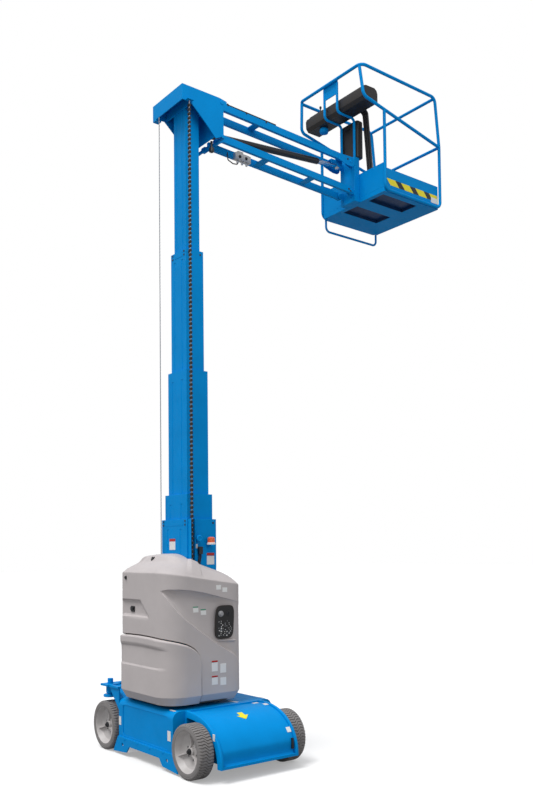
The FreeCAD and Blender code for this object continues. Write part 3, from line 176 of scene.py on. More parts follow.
SLOT_OF = {BLUE: "blue_paint", COVER: "cover_plastic", TYRE: "tyre_rubber", RIM: "rim_paint", PLASTIC: "black_plastic",
           HOSE: "black_rubber", DARK: "dark_iron", BLACK: "black_paint", CHROME: "rod_chrome",
           ALLOY: "bare_aluminium", WIRE: "wire_steel", LAMP: "lamp_orange", RING: "ring_steel",
           CHANNEL_SHADE: "deck_aluminium"}


def mm(*numbers):
    """Pairs of lengths, given in millimetres."""
    metres = [n / 1000 for n in numbers]
    return list(zip(metres[::2], metres[1::2]))


def angles(count):
    return [2 * pi * i / count for i in range(count)]


def walls(count):
    """Quads between a ring of points and the next ring of as many."""
    return [(i, i + count, (i + 1) % count + count, (i + 1) % count) for i in range(count)]


# A mesh under construction, in metres
class Form:
    def __init__(self):
        self.bm = bmesh.new()
        self.mats = []

    def index(self, mat):
        if mat not in self.mats:
            self.mats.append(mat)
        return self.mats.index(mat)

    def faces(self, points, loops, mat, soften=0.0, steps=2):
        """Adds faces by point number, and rounds the sharp edges among them."""
        verts = [self.bm.verts.new(p) for p in points]
        made = []
        number = self.index(mat)
        for loop in loops:
            face = self.bm.faces.new([verts[i] for i in loop])
            face.material_index = number
            made.append(face)
        if soften:
            edges = {e for f in made for e in f.edges}
            sharp = [e for e in edges if len(e.link_faces) == 2 and e.calc_face_angle(0) > 0.5]
            out = bmesh.ops.bevel(self.bm, geom=sharp, offset=soften, segments=steps, affect="EDGES", profile=0.5,
                                  clamp_overlap=True)
            for face in out["faces"]:
                face.material_index = number

    def block(self, low, high, mat, soften=0.0015):
        points = [(x, y, z) for x in (low[0], high[0]) for y in (low[1], high[1]) for z in (low[2], high[2])]
        loops = [(0, 1, 3, 2), (4, 6, 7, 5), (0, 4, 5, 1), (2, 3, 7, 6), (0, 2, 6, 4), (1, 5, 7, 3)]
        self.faces(points, loops, mat, soften)

    def plate(self, middle, size, mat, soften=0.0003):
        middle, half = Vector(middle), Vector(size) / 2
        self.block(middle - half, middle + half, mat, soften)

    def slab(self, top, low, mat, soften=0.0):
        """A face with walls down to its lower ring, open underneath."""
        self.faces(top + low, [tuple(range(len(top)))] + walls(len(top)), mat, soften)

    def prism(self, outline, along, mat, soften=0.0015, steps=2):
        """Closed outline of 3-D points pushed along a vector."""
        outline, along = [Vector(p) for p in outline], Vector(along)
        count = len(outline)
        normal = Vector()
        for a, b in zip(outline, outline[1:] + outline[:1]):
            normal += a.cross(b)
        if normal.dot(along) > 0:
            outline.reverse()
        ends = [tuple(range(count)), tuple(range(2 * count - 1, count - 1, -1))]
        self.faces(outline + [p + along for p in outline], ends + walls(count), mat, soften, steps)

    def grid(self, rows, mat, close=False):
        """Quads between rows of points; close joins each row's ends."""
        wide = len(rows[0])
        verts = [[self.bm.verts.new(p) for p in row] for row in rows]
        number = self.index(mat)
        for a, b in zip(verts, verts[1:]):
            for i in range(wide if close else wide - 1):
                j = (i + 1) % wide
                self.bm.faces.new((a[i], a[j], b[j], b[i])).material_index = number
        return verts

    def skin(self, rows, mat, ends=True):
        """Rings of points joined to a closed body."""
        verts = self.grid(rows, mat, close=True)
        if ends:
            for ring in (tuple(reversed(verts[0])), tuple(verts[-1])):
                self.bm.faces.new(ring).material_index = self.index(mat)

    def lathe(self, profile, centre, axis, mat, sides=48, ends=True):
        """Rings at (distance along the axis, radius)."""
        centre, axis = Vector(centre), Vector(axis).normalized()
        side = axis.orthogonal().normalized()
        other = axis.cross(side)
        rows = [[centre + axis * along + (side * cos(a) + other * sin(a)) * radius for a in angles(sides)]
                for along, radius in profile]
        self.skin(rows, mat, ends)

    def rod(self, start, end, radius, mat, sides=20, soften=0.0):
        start, end = Vector(start), Vector(end)
        length = (end - start).length
        profile = [(0, radius - soften), (soften, radius), (length - soften, radius), (length, radius - soften)]
        self.lathe(profile if soften else profile[1:3], start, end - start, mat, sides)

    def bolt(self, spot, out, radius, mat=DARK):
        """Hexagon head with a washer and a rounded crown."""
        high = radius * 0.75
        self.lathe([(0, radius * 1.35), (high * 0.25, radius * 1.35)], spot, out, mat, 20)
        self.lathe([(high * 0.25, radius), (high * 0.85, radius), (high, radius * 0.8)], spot, out, mat, 6)

    def tube(self, points, radius, bend, mat, sides=16):
        """Round tube through points with rounded corners, swept without twist."""
        line = rounded_line([Vector(p) for p in points], bend)
        side = (line[1] - line[0]).normalized().orthogonal().normalized()
        rows = []
        for before, point, after in zip(line[:1] + line, line, line[1:] + line[-1:]):
            heading = (after - before).normalized()
            side = (side - heading * side.dot(heading)).normalized()
            rise = heading.cross(side)
            rows.append([point + side * (radius * cos(a)) + rise * (radius * sin(a)) for a in angles(sides)])
        self.skin(rows, mat)

    def done(self, name, body, angle=32.0, slot=None):
        """Makes the piece; a name that ends in _look stands for the CAD node of that name."""
        bmesh.ops.remove_doubles(self.bm, verts=self.bm.verts, dist=0.00002)
        bmesh.ops.recalc_face_normals(self.bm, faces=self.bm.faces)
        for edge in self.bm.edges:
            edge.smooth = len(edge.link_faces) == 2 and edge.calc_face_angle(0) < radians(angle)
        for face in self.bm.faces:
            face.smooth = True
        mesh = bpy.data.meshes.new(name)
        self.bm.to_mesh(mesh)
        self.bm.free()
        for mat in self.mats:
            mesh.materials.append(mat)
        obj = add(name, mesh)
        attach(obj, body)
        if name.endswith("_look"):
            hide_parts(name.removesuffix("_look"))
        slot = slot or SLOT_OF.get(self.mats[0])
        return obj


def rounded_line(points, bend, steps=7):
    line = [points[0]]
    for before, corner, after in zip(points, points[1:], points[2:]):
        inward = (before - corner).normalized()
        onward = (after - corner).normalized()
        half = inward.angle(onward) / 2
        if half > pi / 2 - 0.01:
            line.append(corner)
            continue
        back = bend / tan(half)
        centre = corner + (inward + onward).normalized() * (bend / sin(half))
        start = corner + inward * back - centre
        end = corner + onward * back - centre
        total = start.angle(end)
        for i in range(steps + 1):
            share = i / steps
            line.append(centre + (start * sin((1 - share) * total) + end * sin(share * total)) / sin(total))
    line.append(points[-1])
    return line


def smooth(value, low, high):
    t = min(max((value - low) / (high - low), 0.0), 1.0)
    return t * t * (3 - 2 * t)


def between(table, at):
    """Value read between the rows of a short table of (place, value)."""
    if at <= table[0][0]:
        return table[0][1]
    for (a, x), (b, y) in zip(table, table[1:]):
        if at <= b:
            return x + (y - x) * (at - a) / (b - a)
    return table[-1][1]


def rect(x, y, wide, high):
    """Corners of a rectangle about its middle."""
    return [(x + a * wide / 2, y + b * high / 2) for a, b in ((-1, -1), (1, -1), (1, 1), (-1, 1))]


# Carried-over CAD nodes: material, and edges rounded by the given width
def dress(name, mat, soften):
    obj = NODES[name]
    if obj.material_slots:
        for place in obj.material_slots:
            place.material = mat
    else:
        obj.data.materials.append(mat)
    if soften:
        obj.modifiers.new("weld", "WELD").merge_threshold = 0.00002
        flat = obj.modifiers.new("flat", "DECIMATE")
        flat.decimate_type = "DISSOLVE"
        flat.angle_limit = radians(1)
        edge = obj.modifiers.new("edge", "BEVEL")
        edge.width = soften
        edge.segments = 2
        edge.limit_method = "ANGLE"
        edge.angle_limit = radians(40)
        edge.use_clamp_overlap = True
        obj.modifiers.new("shade", "WEIGHTED_NORMAL").keep_sharp = True


# columns: material, rounding in metres, nodes
for mat, soften, names in (
        (BLUE, 0.003, "steer_knuckle_left steer_knuckle_right mast_outer jib_lower_arm jib_upper_arm platform_bracket"),
        (BLUE, 0.0025, "chassis_frame side_guard_left side_guard_right"),
        (BLUE, 0.0025, "mast_section_2 mast_section_3 mast_section_4 mast_section_5"),
        (BLUE, 0.002, "platform_floor"), (BLUE, 0.0015, "mast_head"), (BLUE, 0.001, "kick_panel toe_boards"),
        (BLUE, 0.0008, "carrier_trough"), (BLUE, 0, "entry_step console_stand entry_bar"),
        (DARK, 0.003, "ballast_block counterweight"), (DARK, 0.001, "turntable_base"), (RING, 0.002, "slew_ring"),
        (BLACK, 0.002, "drive_hubs"), (BLACK, 0, "jib_cylinder_barrel"), (CHROME, 0, "jib_cylinder_rod"),
        (PLASTIC, 0.004, "battery_pack")):
    for name in names.split():
        dress(name, mat, soften)


# Wheels: treaded tyre and dished rim
WHEEL_BASE, TRACK, TYRE_R, TYRE_W = 1.284, 0.990, 0.203, 0.127
WALL = TYRE_W / 2


def tyre(centre, out):
    """Lugs across the tread lean in a wave; the groove between two is cut down."""
    form = Form()
    pitches = 54
    # columns: distance in from the side wall, radius, share of the groove's depth
    side = [(0.002, 0.152, 0), (0, 0.162, 0), (0, 0.174, 0), (0.0015, 0.176, 0), (0.0015, 0.181, 0), (0, 0.183, 0),
            (0.002, 0.191, 0.3), (0.006, 0.198, 1), (0.012, 0.202, 1)]
    section = [(-WALL + w, r, d) for w, r, d in side]
    section += [(-WALL + 0.0165 + i * (TYRE_W - 0.033) / 12, TYRE_R, 1) for i in range(13)]
    section += [(WALL - w, r, d) for w, r, d in reversed(side)]
    rows = []
    for pitch in range(pitches):
        # columns: place in the pitch, share of the groove's depth
        for place, deep in ((0.0, 0.0), (0.05, 1.0), (0.3, 1.0), (0.36, 0.0), (0.68, 0.0)):
            row = []
            for w, radius, share in section:
                lean = 0.55 * sin(w / WALL * 2.6) + 0.22 * sin(w / WALL * 7.5)
                angle = 2 * pi * (pitch + place + (lean if share else 0)) / pitches
                r = radius - 0.009 * deep * share
                row.append(centre + Y * out * w + X * (r * cos(angle)) + Z * (r * sin(angle)))
            rows.append(row)
    form.grid(rows + rows[:1], TYRE)
    return form


def rim(centre, out):
    form = Form()
    across = Y * out
    # pairs: distance outward from the middle plane, radius
    form.lathe(mm(-57.5, 154, -59.5, 158, 56.5, 158, 59.5, 157, 60.5, 152, 56.5, 148, 43.5, 144, 17.5, 126, 4.5, 94,
                  0.5, 70, 0.5, 56, 5.5, 52, 7.5, 46, 7.5, 30, -2.5, 30, -32.5, 52, -10.5, 56, -8.5, 90, 7.5, 128,
                  33.5, 138, -57.5, 146, -57.5, 154), centre, across, RIM, 96, ends=False)
    for k in range(3):
        angle = radians(100 + 120 * k)
        ray = X * cos(angle) * out + Z * sin(angle)
        side = across.cross(ray) * 0.0045
        outline = mm(36, 27.5, 62, 21.5, 138, 43.5, 132, 23.5, 98, 1, 36, -0.5)
        form.prism([centre + ray * r + across * w - side for r, w in outline], side * 2, RIM, 0.001)
    form.lathe(mm(5.5, 36, 21.5, 34, 25.5, 30, 25.5, 22), centre, across, RIM, 40, ends=False)
    form.lathe(mm(15.5, 23, 35.5, 23, 37.5, 19), centre, across, DARK, 6)
    form.lathe(mm(37.5, 11, 47.5, 10, 49.5, 7), centre, across, DARK, 20)
    for k in range(6):
        angle = radians(40 + 60 * k)
        ray = X * cos(angle) + Z * sin(angle)
        form.bolt(centre + ray * 0.063 + across * 0.0005, across, 0.0055)
    return form


# columns: name, end of the machine, side
for key, end, side in (("drive_left", 1, 1), ("drive_right", 1, -1), ("steer_left", -1, 1), ("steer_right", -1, -1)):
    hub_place = Vector((end * WHEEL_BASE / 2, side * (TRACK - TYRE_W) / 2, TYRE_R))
    tyre(hub_place, side).done(f"wheel_{key}_tyre_look", f"wheel_{key}", angle=28)
    rim(hub_place, side).done(f"wheel_{key}_rim_look", f"wheel_{key}", angle=30)


# Covers round the mast: a plan with round corners, walked by the distance from its front middle
HALF, REAR, FRONT, CORNER, FRONT_CORNER = 0.42, 0.51, 0.22, 0.19, 0.125
ARC = pi / 2 * CORNER
LEG = HALF - CORNER
RUN = FRONT - CORNER + REAR - CORNER
TOTAL = 2 * LEG + 2 * ARC + RUN
MAST_MID = -0.041


def plan(s):
    """Point of the plan and its outward direction; negative runs are the -X side."""
    side = 1 if s >= 0 else -1
    s = abs(s)
    if s <= LEG + ARC:
        # The front corner is tighter than the rear one, over the same run
        leg, straight = HALF - FRONT_CORNER, CORNER - FRONT_CORNER
        turn = pi / 2 * FRONT_CORNER
        s *= (leg + turn + straight) / (LEG + ARC)
        if s <= leg:
            spot, out = (s, FRONT), (0, 1)
        elif s <= leg + turn:
            a = pi / 2 - (s - leg) / FRONT_CORNER
            out = (cos(a), sin(a))
            spot = (leg + FRONT_CORNER * out[0], FRONT - FRONT_CORNER + FRONT_CORNER * out[1])
        else:
            spot, out = (HALF, FRONT - FRONT_CORNER - (s - leg - turn)), (1, 0)
    elif s <= LEG + ARC + RUN:
        spot, out = (HALF, FRONT - CORNER - (s - LEG - ARC)), (1, 0)
    elif s <= LEG + 2 * ARC + RUN:
        a = -(s - LEG - ARC - RUN) / CORNER
        out = (cos(a), sin(a))
        spot = (LEG + CORNER * out[0], CORNER - REAR + CORNER * out[1])
    else:
        spot, out = (TOTAL - s, -REAR), (0, -1)
    return Vector((side * spot[0], spot[1], 0)), Vector((side * out[0], out[1], 0))


def on_plan(s, z, lift):
    """Point at a run and a height, so far outside the plan."""
    spot, out = plan(s)
    return Vector((spot.x, spot.y, z)) + out * lift


# columns: run, height; the swept recess lies between LOWER and UPPER, the door under DOOR_TOP
UPPER = mm(0, 1200, 300, 1235, 452, 1276, 522, 1295, 619, 1319, 731, 1347, 842, 1367, 945, 1378, 1038, 1379,
           1107, 1368, 1420, 1368)
LOWER = mm(0, 620, 150, 630, 300, 715, 400, 797, 458, 847, 527, 890, 603, 934, 679, 983, 753, 1035, 826, 1085,
           898, 1138, 962, 1199, 1022, 1269, 1063, 1322, 1107, 1366, 1420, 1366)
DOOR_END = 0.757
DOOR_TOP = mm(757, 720, 759, 775, 763, 808, 770, 836, 779, 858, 790, 876, 806, 896, 830, 916, 860, 934, 895, 950,
              950, 967, 1015, 981, 1080, 991, 1154, 999, 1250, 1003, 1420, 1006)
LOW, SKIRT_TOP, SKIRT_IN = 0.488, 0.556, 0.040
OVERHANG, BEVEL = 0.007, 0.018


def eave(y):
    """Height of the walls' upper edge."""
    return 1.512 - 0.1507 * (y + REAR)


def skirt(z):
    return -SKIRT_IN * (SKIRT_TOP - z) / (SKIRT_TOP - LOW) if z < SKIRT_TOP else 0.0


def relief(s, z):
    """How far the upper covers stand out of the plain hull, in metres."""
    run = abs(s)
    top, low = between(UPPER, run), between(LOWER, run)
    out = skirt(z)
    tall = top - low
    if run < 1.107 and low < z < top:
        down, up = top - z, z - low
        deep = 0.006 * smooth(run, 0.3, 0.42) + 0.055 * smooth(run, 0.38, 0.74) * smooth(tall, 0.0, 0.14)
        under = min(down / min(OVERHANG, 0.3 * tall), 1.0)
        fall = min(down / min(0.065, 0.4 * tall), 1.0)
        hollow = fall * (2 - fall)
        near = (down / tall) ** 1.4
        foot = 0.022 * smooth(run, 0.34, 0.52) * smooth(tall, 0.0, 0.06)
        depth = deep * (0.2 * under + 0.8 * hollow) * (1 - near) + foot * near
        out -= depth * min(up / min(BEVEL, 0.3 * tall), 1.0)
    # Latch pocket at the rear
    spot, _ = plan(s)
    if spot.y < -0.44 and 1.14 < z < 1.29:
        right = 0.02 + (1.28 - z) * 1.05
        inside = smooth(right - spot.x, 0.0, 0.012) * smooth(spot.x, -0.33, -0.29)
        inside *= smooth(1.284 - z, 0.0, 0.006) * min(max((z - 1.148) / 0.018, 0.0), 1.0)
        out -= 0.021 * inside
    return out


def house(s, z, extra=0.0):
    return on_plan(s, z, relief(s, z) + extra)


def columns(start, end, fine):
    """Places along the plan, closer together in the fine stretch."""
    places = []
    s = start
    while s < end - 1e-6:
        places.append(s)
        step = 0.0025 if fine[0] - 0.001 < s < fine[1] else 0.0095
        s = min(s + step, end)
        if places[-1] < fine[0] < s:
            s = fine[0]
    return places + [end]


def levels(marks):
    """Heights from mark to mark; a mark is its height and the steps up to the next one."""
    marks = list(marks)
    heights = [a + (b - a) * i / count for (a, count), (b, _) in zip(marks, marks[1:]) for i in range(count)]
    return heights + [marks[-1][0]]


# Opening round the mast, its cable carrier and the level cable
HOLE = mm(-198.5, -185.5, -182, -185.5, -182, -216, -148, -216, -148, -185.5, 198.5, -185.5, 198.5, -179, 244.5, -179,
          244.5, -121, 198.5, -121, 198.5, 103.5, -198.5, 103.5)


def hole_point(s):
    """Where a line from a plan point towards the mast meets the opening."""
    centre = Vector((0, MAST_MID, 0))
    ray = plan(s)[0] - centre
    best = 0.0
    for (ax, ay), (bx, by) in zip(HOLE, HOLE[1:] + HOLE[:1]):
        ex, ey = bx - ax, by - ay
        across = ray.x * ey - ray.y * ex
        if abs(across) < 1e-12:
            continue
        dx, dy = ax, ay - MAST_MID
        along = (dx * ey - dy * ex) / across
        place = (dx * ray.y - dy * ray.x) / across
        if along > 0 and -1e-6 <= place <= 1 + 1e-6:
            best = max(best, along)
    return centre + ray * best


# columns: share of the way from the rear eave to the mast, share of the rise
HUMP = ((0, 0), (0.1, 0.2), (0.2, 0.34), (0.3, 0.44), (0.38, 0.53), (0.43, 0.62), (0.47, 0.75), (0.51, 0.87),
        (0.56, 0.94), (0.64, 0.975), (0.75, 1), (1, 1))


def cover(name, side):
    form = Form()
    rows = []
    for run in columns(0.0, TOTAL, (0.747, 0.83)):
        s = side * run if run else side * 1e-9
        spot, out = plan(s)
        door = run >= DOOR_END - 1e-6
        start = between(DOOR_TOP, run) + 0.009 if door else LOW
        bend = start + 0.02 if door else SKIRT_TOP
        low, top, edge = between(LOWER, run), between(UPPER, run), eave(spot.y) - 0.014
        low = max(low, bend + 0.03)
        tall = top - low
        recess = (low - 0.003, low, low + min(BEVEL, 0.3 * tall), top - min(OVERHANG, 0.3 * tall), top)
        if tall < 0.004:
            recess = (low - 0.004, low - 0.003, low - 0.002, low - 0.001, low)
        first, *rest = levels(zip((start, bend, *recess, top + 0.003, edge), (3, 28, 2, 4, 26, 4, 2, 14, 1)))
        first = house(s, first)
        column = [first - out * 0.022, first - out * 0.004, first + Z * 0.003] + [house(s, z) for z in rest]
        # Rounded eave, then the roof up to the opening
        for k in range(1, 5):
            a = k / 4 * radians(62)
            column.append(on_plan(s, edge + 0.014 * sin(a), 0.014 * cos(a) - 0.014))
        base = column[-1]
        goal = hole_point(s)
        ridge = eave(goal.y) + 0.10 - 0.26 * goal.y
        ridge += 0.04 * max(1 - (goal.x / 0.2) ** 2, 0.0) * smooth(-goal.y, 0.05, 0.18)
        rear = smooth(-out.y, 0.2, 0.9)
        for k in range(1, 21):
            t = k / 20
            share = rear * between(HUMP, t) + (1 - rear) * sin(t * pi / 2) ** 0.9
            column.append(base.lerp(Vector((goal.x, goal.y, base.z)), t) + Z * ((ridge - base.z) * share))
        rows.append(column + [column[-1] - Z * 0.03])
    form.grid(rows, COVER)
    form.done(name, "turntable", angle=24)


cover("cover_right_look", 1)
cover("cover_left_look", -1)


def door_relief(s, z):
    run = abs(s)
    down = max(between(DOOR_TOP, run) - z, 0.0)
    rear = smooth(run, 1.02, 1.14)
    # Roll along the top, sharp underneath at the rear and soft at the front, with a round lip
    sharp = 1 - smooth(down, 0.068, 0.080)
    soft = 1 - smooth(down, -0.04, 0.15)
    roll = 0.0088 * (soft + (sharp - soft) * rear)
    bend = min(down / 0.016, 1.0)
    out = 0.002 + (0.009 + roll) * sqrt(bend * (2 - bend))
    # Inset band at the rear, with a ledge under it
    if z > 0.74:
        out -= 0.007 * rear * min(max((z - 0.764) / 0.012, 0.0), 1.0) * smooth(down, 0.05, 0.075)
    edge = min(max((run - DOOR_END - 0.004) / 0.012, 0.0), 1.0)
    return (out - 0.001) * sqrt(edge * (2 - edge)) + 0.001 + skirt(z)


def lower_cover():
    form = Form()
    rows = []
    places = columns(DOOR_END + 0.005, TOTAL, (DOOR_END, 0.83))
    for s in places + [-s for s in reversed(places[:-1])]:
        top = between(DOOR_TOP, abs(s))
        _, out = plan(s)
        reach = top - SKIRT_TOP
        heights = levels([(LOW + 0.002, 4), (SKIRT_TOP, 16), (min(0.763, SKIRT_TOP + 0.5 * reach), 2),
                          (min(0.777, SKIRT_TOP + 0.535 * reach), 14), (top - min(0.081, 0.2 * reach), 4),
                          (top - min(0.067, 0.16 * reach), 10), (top - min(0.016, 0.07 * reach), 7), (top, 1)])
        column = [on_plan(s, z, door_relief(s, z)) for z in heights]
        rows.append([column[0] - out * 0.02] + column + [column[-1] - out * 0.022])
    form.grid(rows, COVER)
    for row, s in ((rows[0], places[0]), (rows[-1], -places[0])):
        form.grid([row, [p - plan(s)[1] * 0.02 for p in row]], COVER)
    form.done("lower_cover_look", "turntable", angle=24)


lower_cover()


def patch(form, outline, mat, lift, deep, shape=house, soften=0.0):
    """A plate on the covers: outline of (run, height) points laid on the surface."""
    form.slab([shape(s, z, lift) for s, z in outline], [shape(s, z, lift - deep) for s, z in outline], mat, soften)


def ground_panel():
    form = Form()
    middle, level, wide, high, power = 0.536, 1.108, 0.172, 0.262, 4.5
    outline = []
    for a in angles(40):
        x = copysign(abs(cos(a)) ** (2 / power), cos(a)) * wide / 2
        y = copysign(abs(sin(a)) ** (2 / power), sin(a)) * high / 2
        outline.append((middle + x - 0.06 * y, level + y))

    def inset(s, z, extra):
        return on_plan(s, z, extra - 0.006)
    patch(form, outline, PLASTIC, 0.004, 0.012, inset, 0.002)
    inner = [(middle + (s - middle) * 0.88, level + (z - level) * 0.91) for s, z in outline]
    patch(form, inner, BLACK, 0.0055, 0.004, inset, 0.0008)
    # Small pale marks and buttons in the lower part
    draw = random.Random(7)
    for row in range(9):
        for column in range(7):
            if draw.random() < 0.36:
                continue
            s = middle - 0.056 + 0.0185 * column + draw.uniform(-0.004, 0.004)
            z = level + 0.006 - 0.0138 * row + draw.uniform(-0.003, 0.003)
            w, h = draw.uniform(0.002, 0.0055), draw.uniform(0.0015, 0.0042)
            mat = draw.choice((WHITE, WHITE, WHITE, GREY, GREY))
            mark = [(s - w, z - h), (s + w, z - h), (s + w * 0.6, z + h), (s - w, z + h)]
            patch(form, mark, mat, 0.0068, 0.003, inset)
    # Knob and key
    at = on_plan(middle + 0.038, level + 0.066, -0.001)
    form.lathe(mm(0, 24, 4, 24, 6, 18, 16, 17, 20, 14), at, plan(middle + 0.038)[1], GREY, 28)
    at = on_plan(middle - 0.035, level + 0.066, -0.001)
    form.lathe(mm(0, 20, 3, 20, 5, 12), at, plan(middle - 0.035)[1], DARK, 24)
    form.block(at - Vector((0.002, 0.003, 0.016)), at + Vector((0.011, 0.003, 0.016)), DARK)
    form.done("ground_controls_look", "turntable")
    ledge = Form()
    rows = []
    for i in range(19):
        s = 0.412 + 0.19 * i / 18
        z = 0.955 + 0.012 * (s - 0.41) / 0.19
        ends = smooth(i, -0.5, 3) * smooth(18 - i, -0.5, 3)
        base, out = house(s, z, -0.004), plan(s)[1]
        rows.append([base + out * (0.02 * ends * sin(a)) + Z * 0.011 * cos(a) for a in (pi * k / 8 for k in range(9))])
    ledge.grid(rows, COVER)
    ledge.done("panel_ledge", "turntable")


def house_trim():
    form = Form()
    # columns: middle run, middle height, width, height, material
    for run, height, wide, high, mat in (
            (0.594, 1.383, 0.045, 0.036, WHITE), (0.535, 1.362, 0.045, 0.036, WHITE),
            (0.779, 1.21, 0.05, 0.034, WHITE), (0.708, 1.187, 0.05, 0.034, WHITE),
            (0.779, 1.234, 0.05, 0.008, GREEN), (0.708, 1.211, 0.05, 0.008, GREEN),
            (0.636, 0.805, 0.056, 0.014, RED), (0.636, 0.688, 0.056, 0.012, RED),
            (0.636, 0.765, 0.056, 0.072, WHITE), (0.556, 0.747, 0.056, 0.072, WHITE),
            (0.636, 0.655, 0.056, 0.06, WHITE), (0.556, 0.645, 0.056, 0.06, WHITE)):
        patch(form, rect(run, height, wide, high), mat, 0.0012, 0.003)
    form.done("house_plates", "turntable", slot="cover_plastic")
    latch = Form()
    # columns: place across the rear, height, width, height of the plate
    for x, z, wide, high in ((-0.135, 1.21, 0.058, 0.046), (-0.215, 1.46, 0.016, 0.03)):
        at = house(abs(x) - TOTAL, z)
        latch.block(at + Vector((-wide / 2, -0.006, -high / 2)), at + Vector((wide / 2, 0.006, high / 2)), BLACK, 0.003)
        latch.block(at + Vector((-wide / 2 + 0.004, -0.013, -high / 4)), at + Vector((wide / 4, -0.002, high / 3)),
                    DARK, 0.003)
        latch.rod(at + Vector((0.006, -0.001, 0.004)), at + Vector((0.006, -0.016, 0.004)), 0.009, DARK, 18, 0.002)
    # Latch on the rear flank of the roof: two short dark fingers in a V
    for lean in (-0.016, 0.016):
        latch.rod((-0.045, -0.372, 1.600), (-0.045 + lean, -0.352, 1.626), 0.006, DARK, 12, 0.002)
    latch.done("cover_latches", "turntable")


# Curved cover over the drive end: sheet between two raised lips
def end_cover():
    form = Form()
    x0, x1, z0, z1, half, lip = 0.4525, 0.909, 0.100, 0.460, 0.362, 0.025
    wide = half - 0.018

    def curve(share, inset=0.0):
        a, power = share * pi / 2, 2 / 2.25
        return Vector((x0 + (x1 - x0 - inset) * sin(a) ** power, 0, z0 + (z1 - z0 - inset) * cos(a) ** power))

    def tuck(point):
        """The sheet draws in near its foot, then runs out again to the bottom edge."""
        drop = z0 + 0.125 - point.z
        if drop <= 0:
            return point
        return point - X * (0.020 * smooth(drop, 0.0, 0.085) - 0.019 * smooth(drop, 0.092, 0.122))
    shares = [i / 48 for i in range(49)]
    inner = [tuck(curve(t, 0.017)) for t in shares]
    # columns: y, share of the way in from the sheet's outer face
    edge = [(-wide, 1.0), (-wide + 0.008, 0.9), (-wide + 0.014, 0.0), (wide - 0.014, 0.0), (wide - 0.008, 0.9),
            (wide, 1.0)]
    rows = []
    for t, deep in zip(shares, inner):
        outer = tuck(curve(t, 0.011))
        rows.append([deep - Y * wide] + [outer + (deep - outer) * d + Y * y for y, d in edge] + [deep + Y * wide])
    rows.append([p + Vector((-0.03, 0, 0.001)) for p in rows[-1]])
    form.grid(rows, BLUE)
    form.grid([[p + Y * y for y in (-wide, wide)] for p in inner], BLUE)
    for side in (-1, 1):
        a, b = half * side, (half - lip) * side
        # columns: y, inset from the curve
        section = ((a, 0.05), (a, 0.006), (a - 0.002 * side, 0.002), (a - 0.006 * side, 0.0), (b + 0.007 * side, 0.0),
                   (b + 0.002 * side, 0.002), (b, 0.006), (b, 0.026), (b, 0.05))
        form.skin([[curve(t, inset) + Y * y for y, inset in section] for t in shares], BLUE)
    # Bottom bar beside the sheet, and a black block for the slot: painted shade standing for the slot's dark inside
    bar = mm(18, 0, 2, 0, 2, 20, 18, 20)
    form.prism([(x1 - x, -wide, z0 + z) for x, z in bar], (0, 2 * wide, 0), BLUE, 0.002)
    spot = curve(0.86, 0.0075)
    form.block((spot.x - 0.012, 0.308, 0.155), (spot.x + 0.003, 0.324, 0.235), BLACK, 0.002)
    form.done("end_cover_look", "chassis", angle=30)
    marks = Form()

    def on_sheet(t, y, lift):
        ahead = curve(min(t + 0.01, 1), 0.009) - curve(max(t - 0.01, 0), 0.009)
        out = Vector((abs(ahead.z), 0, abs(ahead.x))).normalized()
        return curve(t, 0.009) + Y * y + out * lift

    def plate(points, mat):
        marks.slab([on_sheet(t, y, 0.001) for t, y in points], [on_sheet(t, y, -0.002) for t, y in points], mat)
    # Arrow that points to +X; in pieces, so that it follows the curve
    plate(rect(0.2525, 0, 0.035, 0.044), YELLOW)
    plate(rect(0.2875, 0, 0.035, 0.044), YELLOW)
    plate(mm(305, -52, 345, -26, 345, 26, 305, 52), YELLOW)
    plate(mm(345, -26, 385, 0, 345, 26), YELLOW)
    # columns: share of the curve, y of its middle, share long, width
    for row in ((0.66, 0.315, 0.075, 0.038), (0.03, 0.27, 0.03, 0.05), (0.12, 0.32, 0.05, 0.04)):
        plate(rect(*row), WHITE)
    spot = curve(0.55)
    marks.block((spot.x - 0.006, -half - 0.0015, spot.z - 0.05), (spot.x + 0.02, -half + 0.002, spot.z), WHITE, 0.0005)
    marks.done("end_plates", "chassis", slot="blue_paint")


# Chassis trim: plates and bolts
def chassis_trim():
    form = Form()
    for side in (-1, 1):
        # columns: x, z, width, height
        for x, z, wide, high in ((0.378, 0.275, 0.045, 0.075), (-0.398, 0.275, 0.036, 0.07)):
            form.plate((x, side * 0.4706, z), (wide, 0.0024, high), WHITE, 0.0004)
        form.plate((0.365, side * 0.425 - 0.004, 0.45935), (0.07, 0.016, 0.0037), WHITE, 0.0004)
        for x in (-0.30, -0.10, 0.10, 0.30):
            form.bolt((x, side * 0.4803, 0.136), (0, side, 0), 0.0065, BLUE)
    form.prism([(0.29, 0.126, 0.4575), (0.41, 0.134, 0.4575), (0.40, 0.168, 0.4575)], (0, 0, 0.0037), WHITE, 0)
    form.done("chassis_plates", "chassis", slot="blue_paint")


# Sloped plates that join the deck to the shelves over the steered wheels
def steer_plates():
    form = Form()
    # columns: x, z along the slope
    slope = mm(-418.5, 452, -440, 462, -560, 528, -585, 534)
    for side in (-1, 1):
        near, far = side * 0.459, side * 0.20
        outline = [(x, near, z) for x, z in slope] + [(x, near, z + 0.006) for x, z in slope[::-1]]
        form.prism(outline, (0, far - near, 0), BLUE, 0.001)
    form.done("steer_end_plates", "chassis")


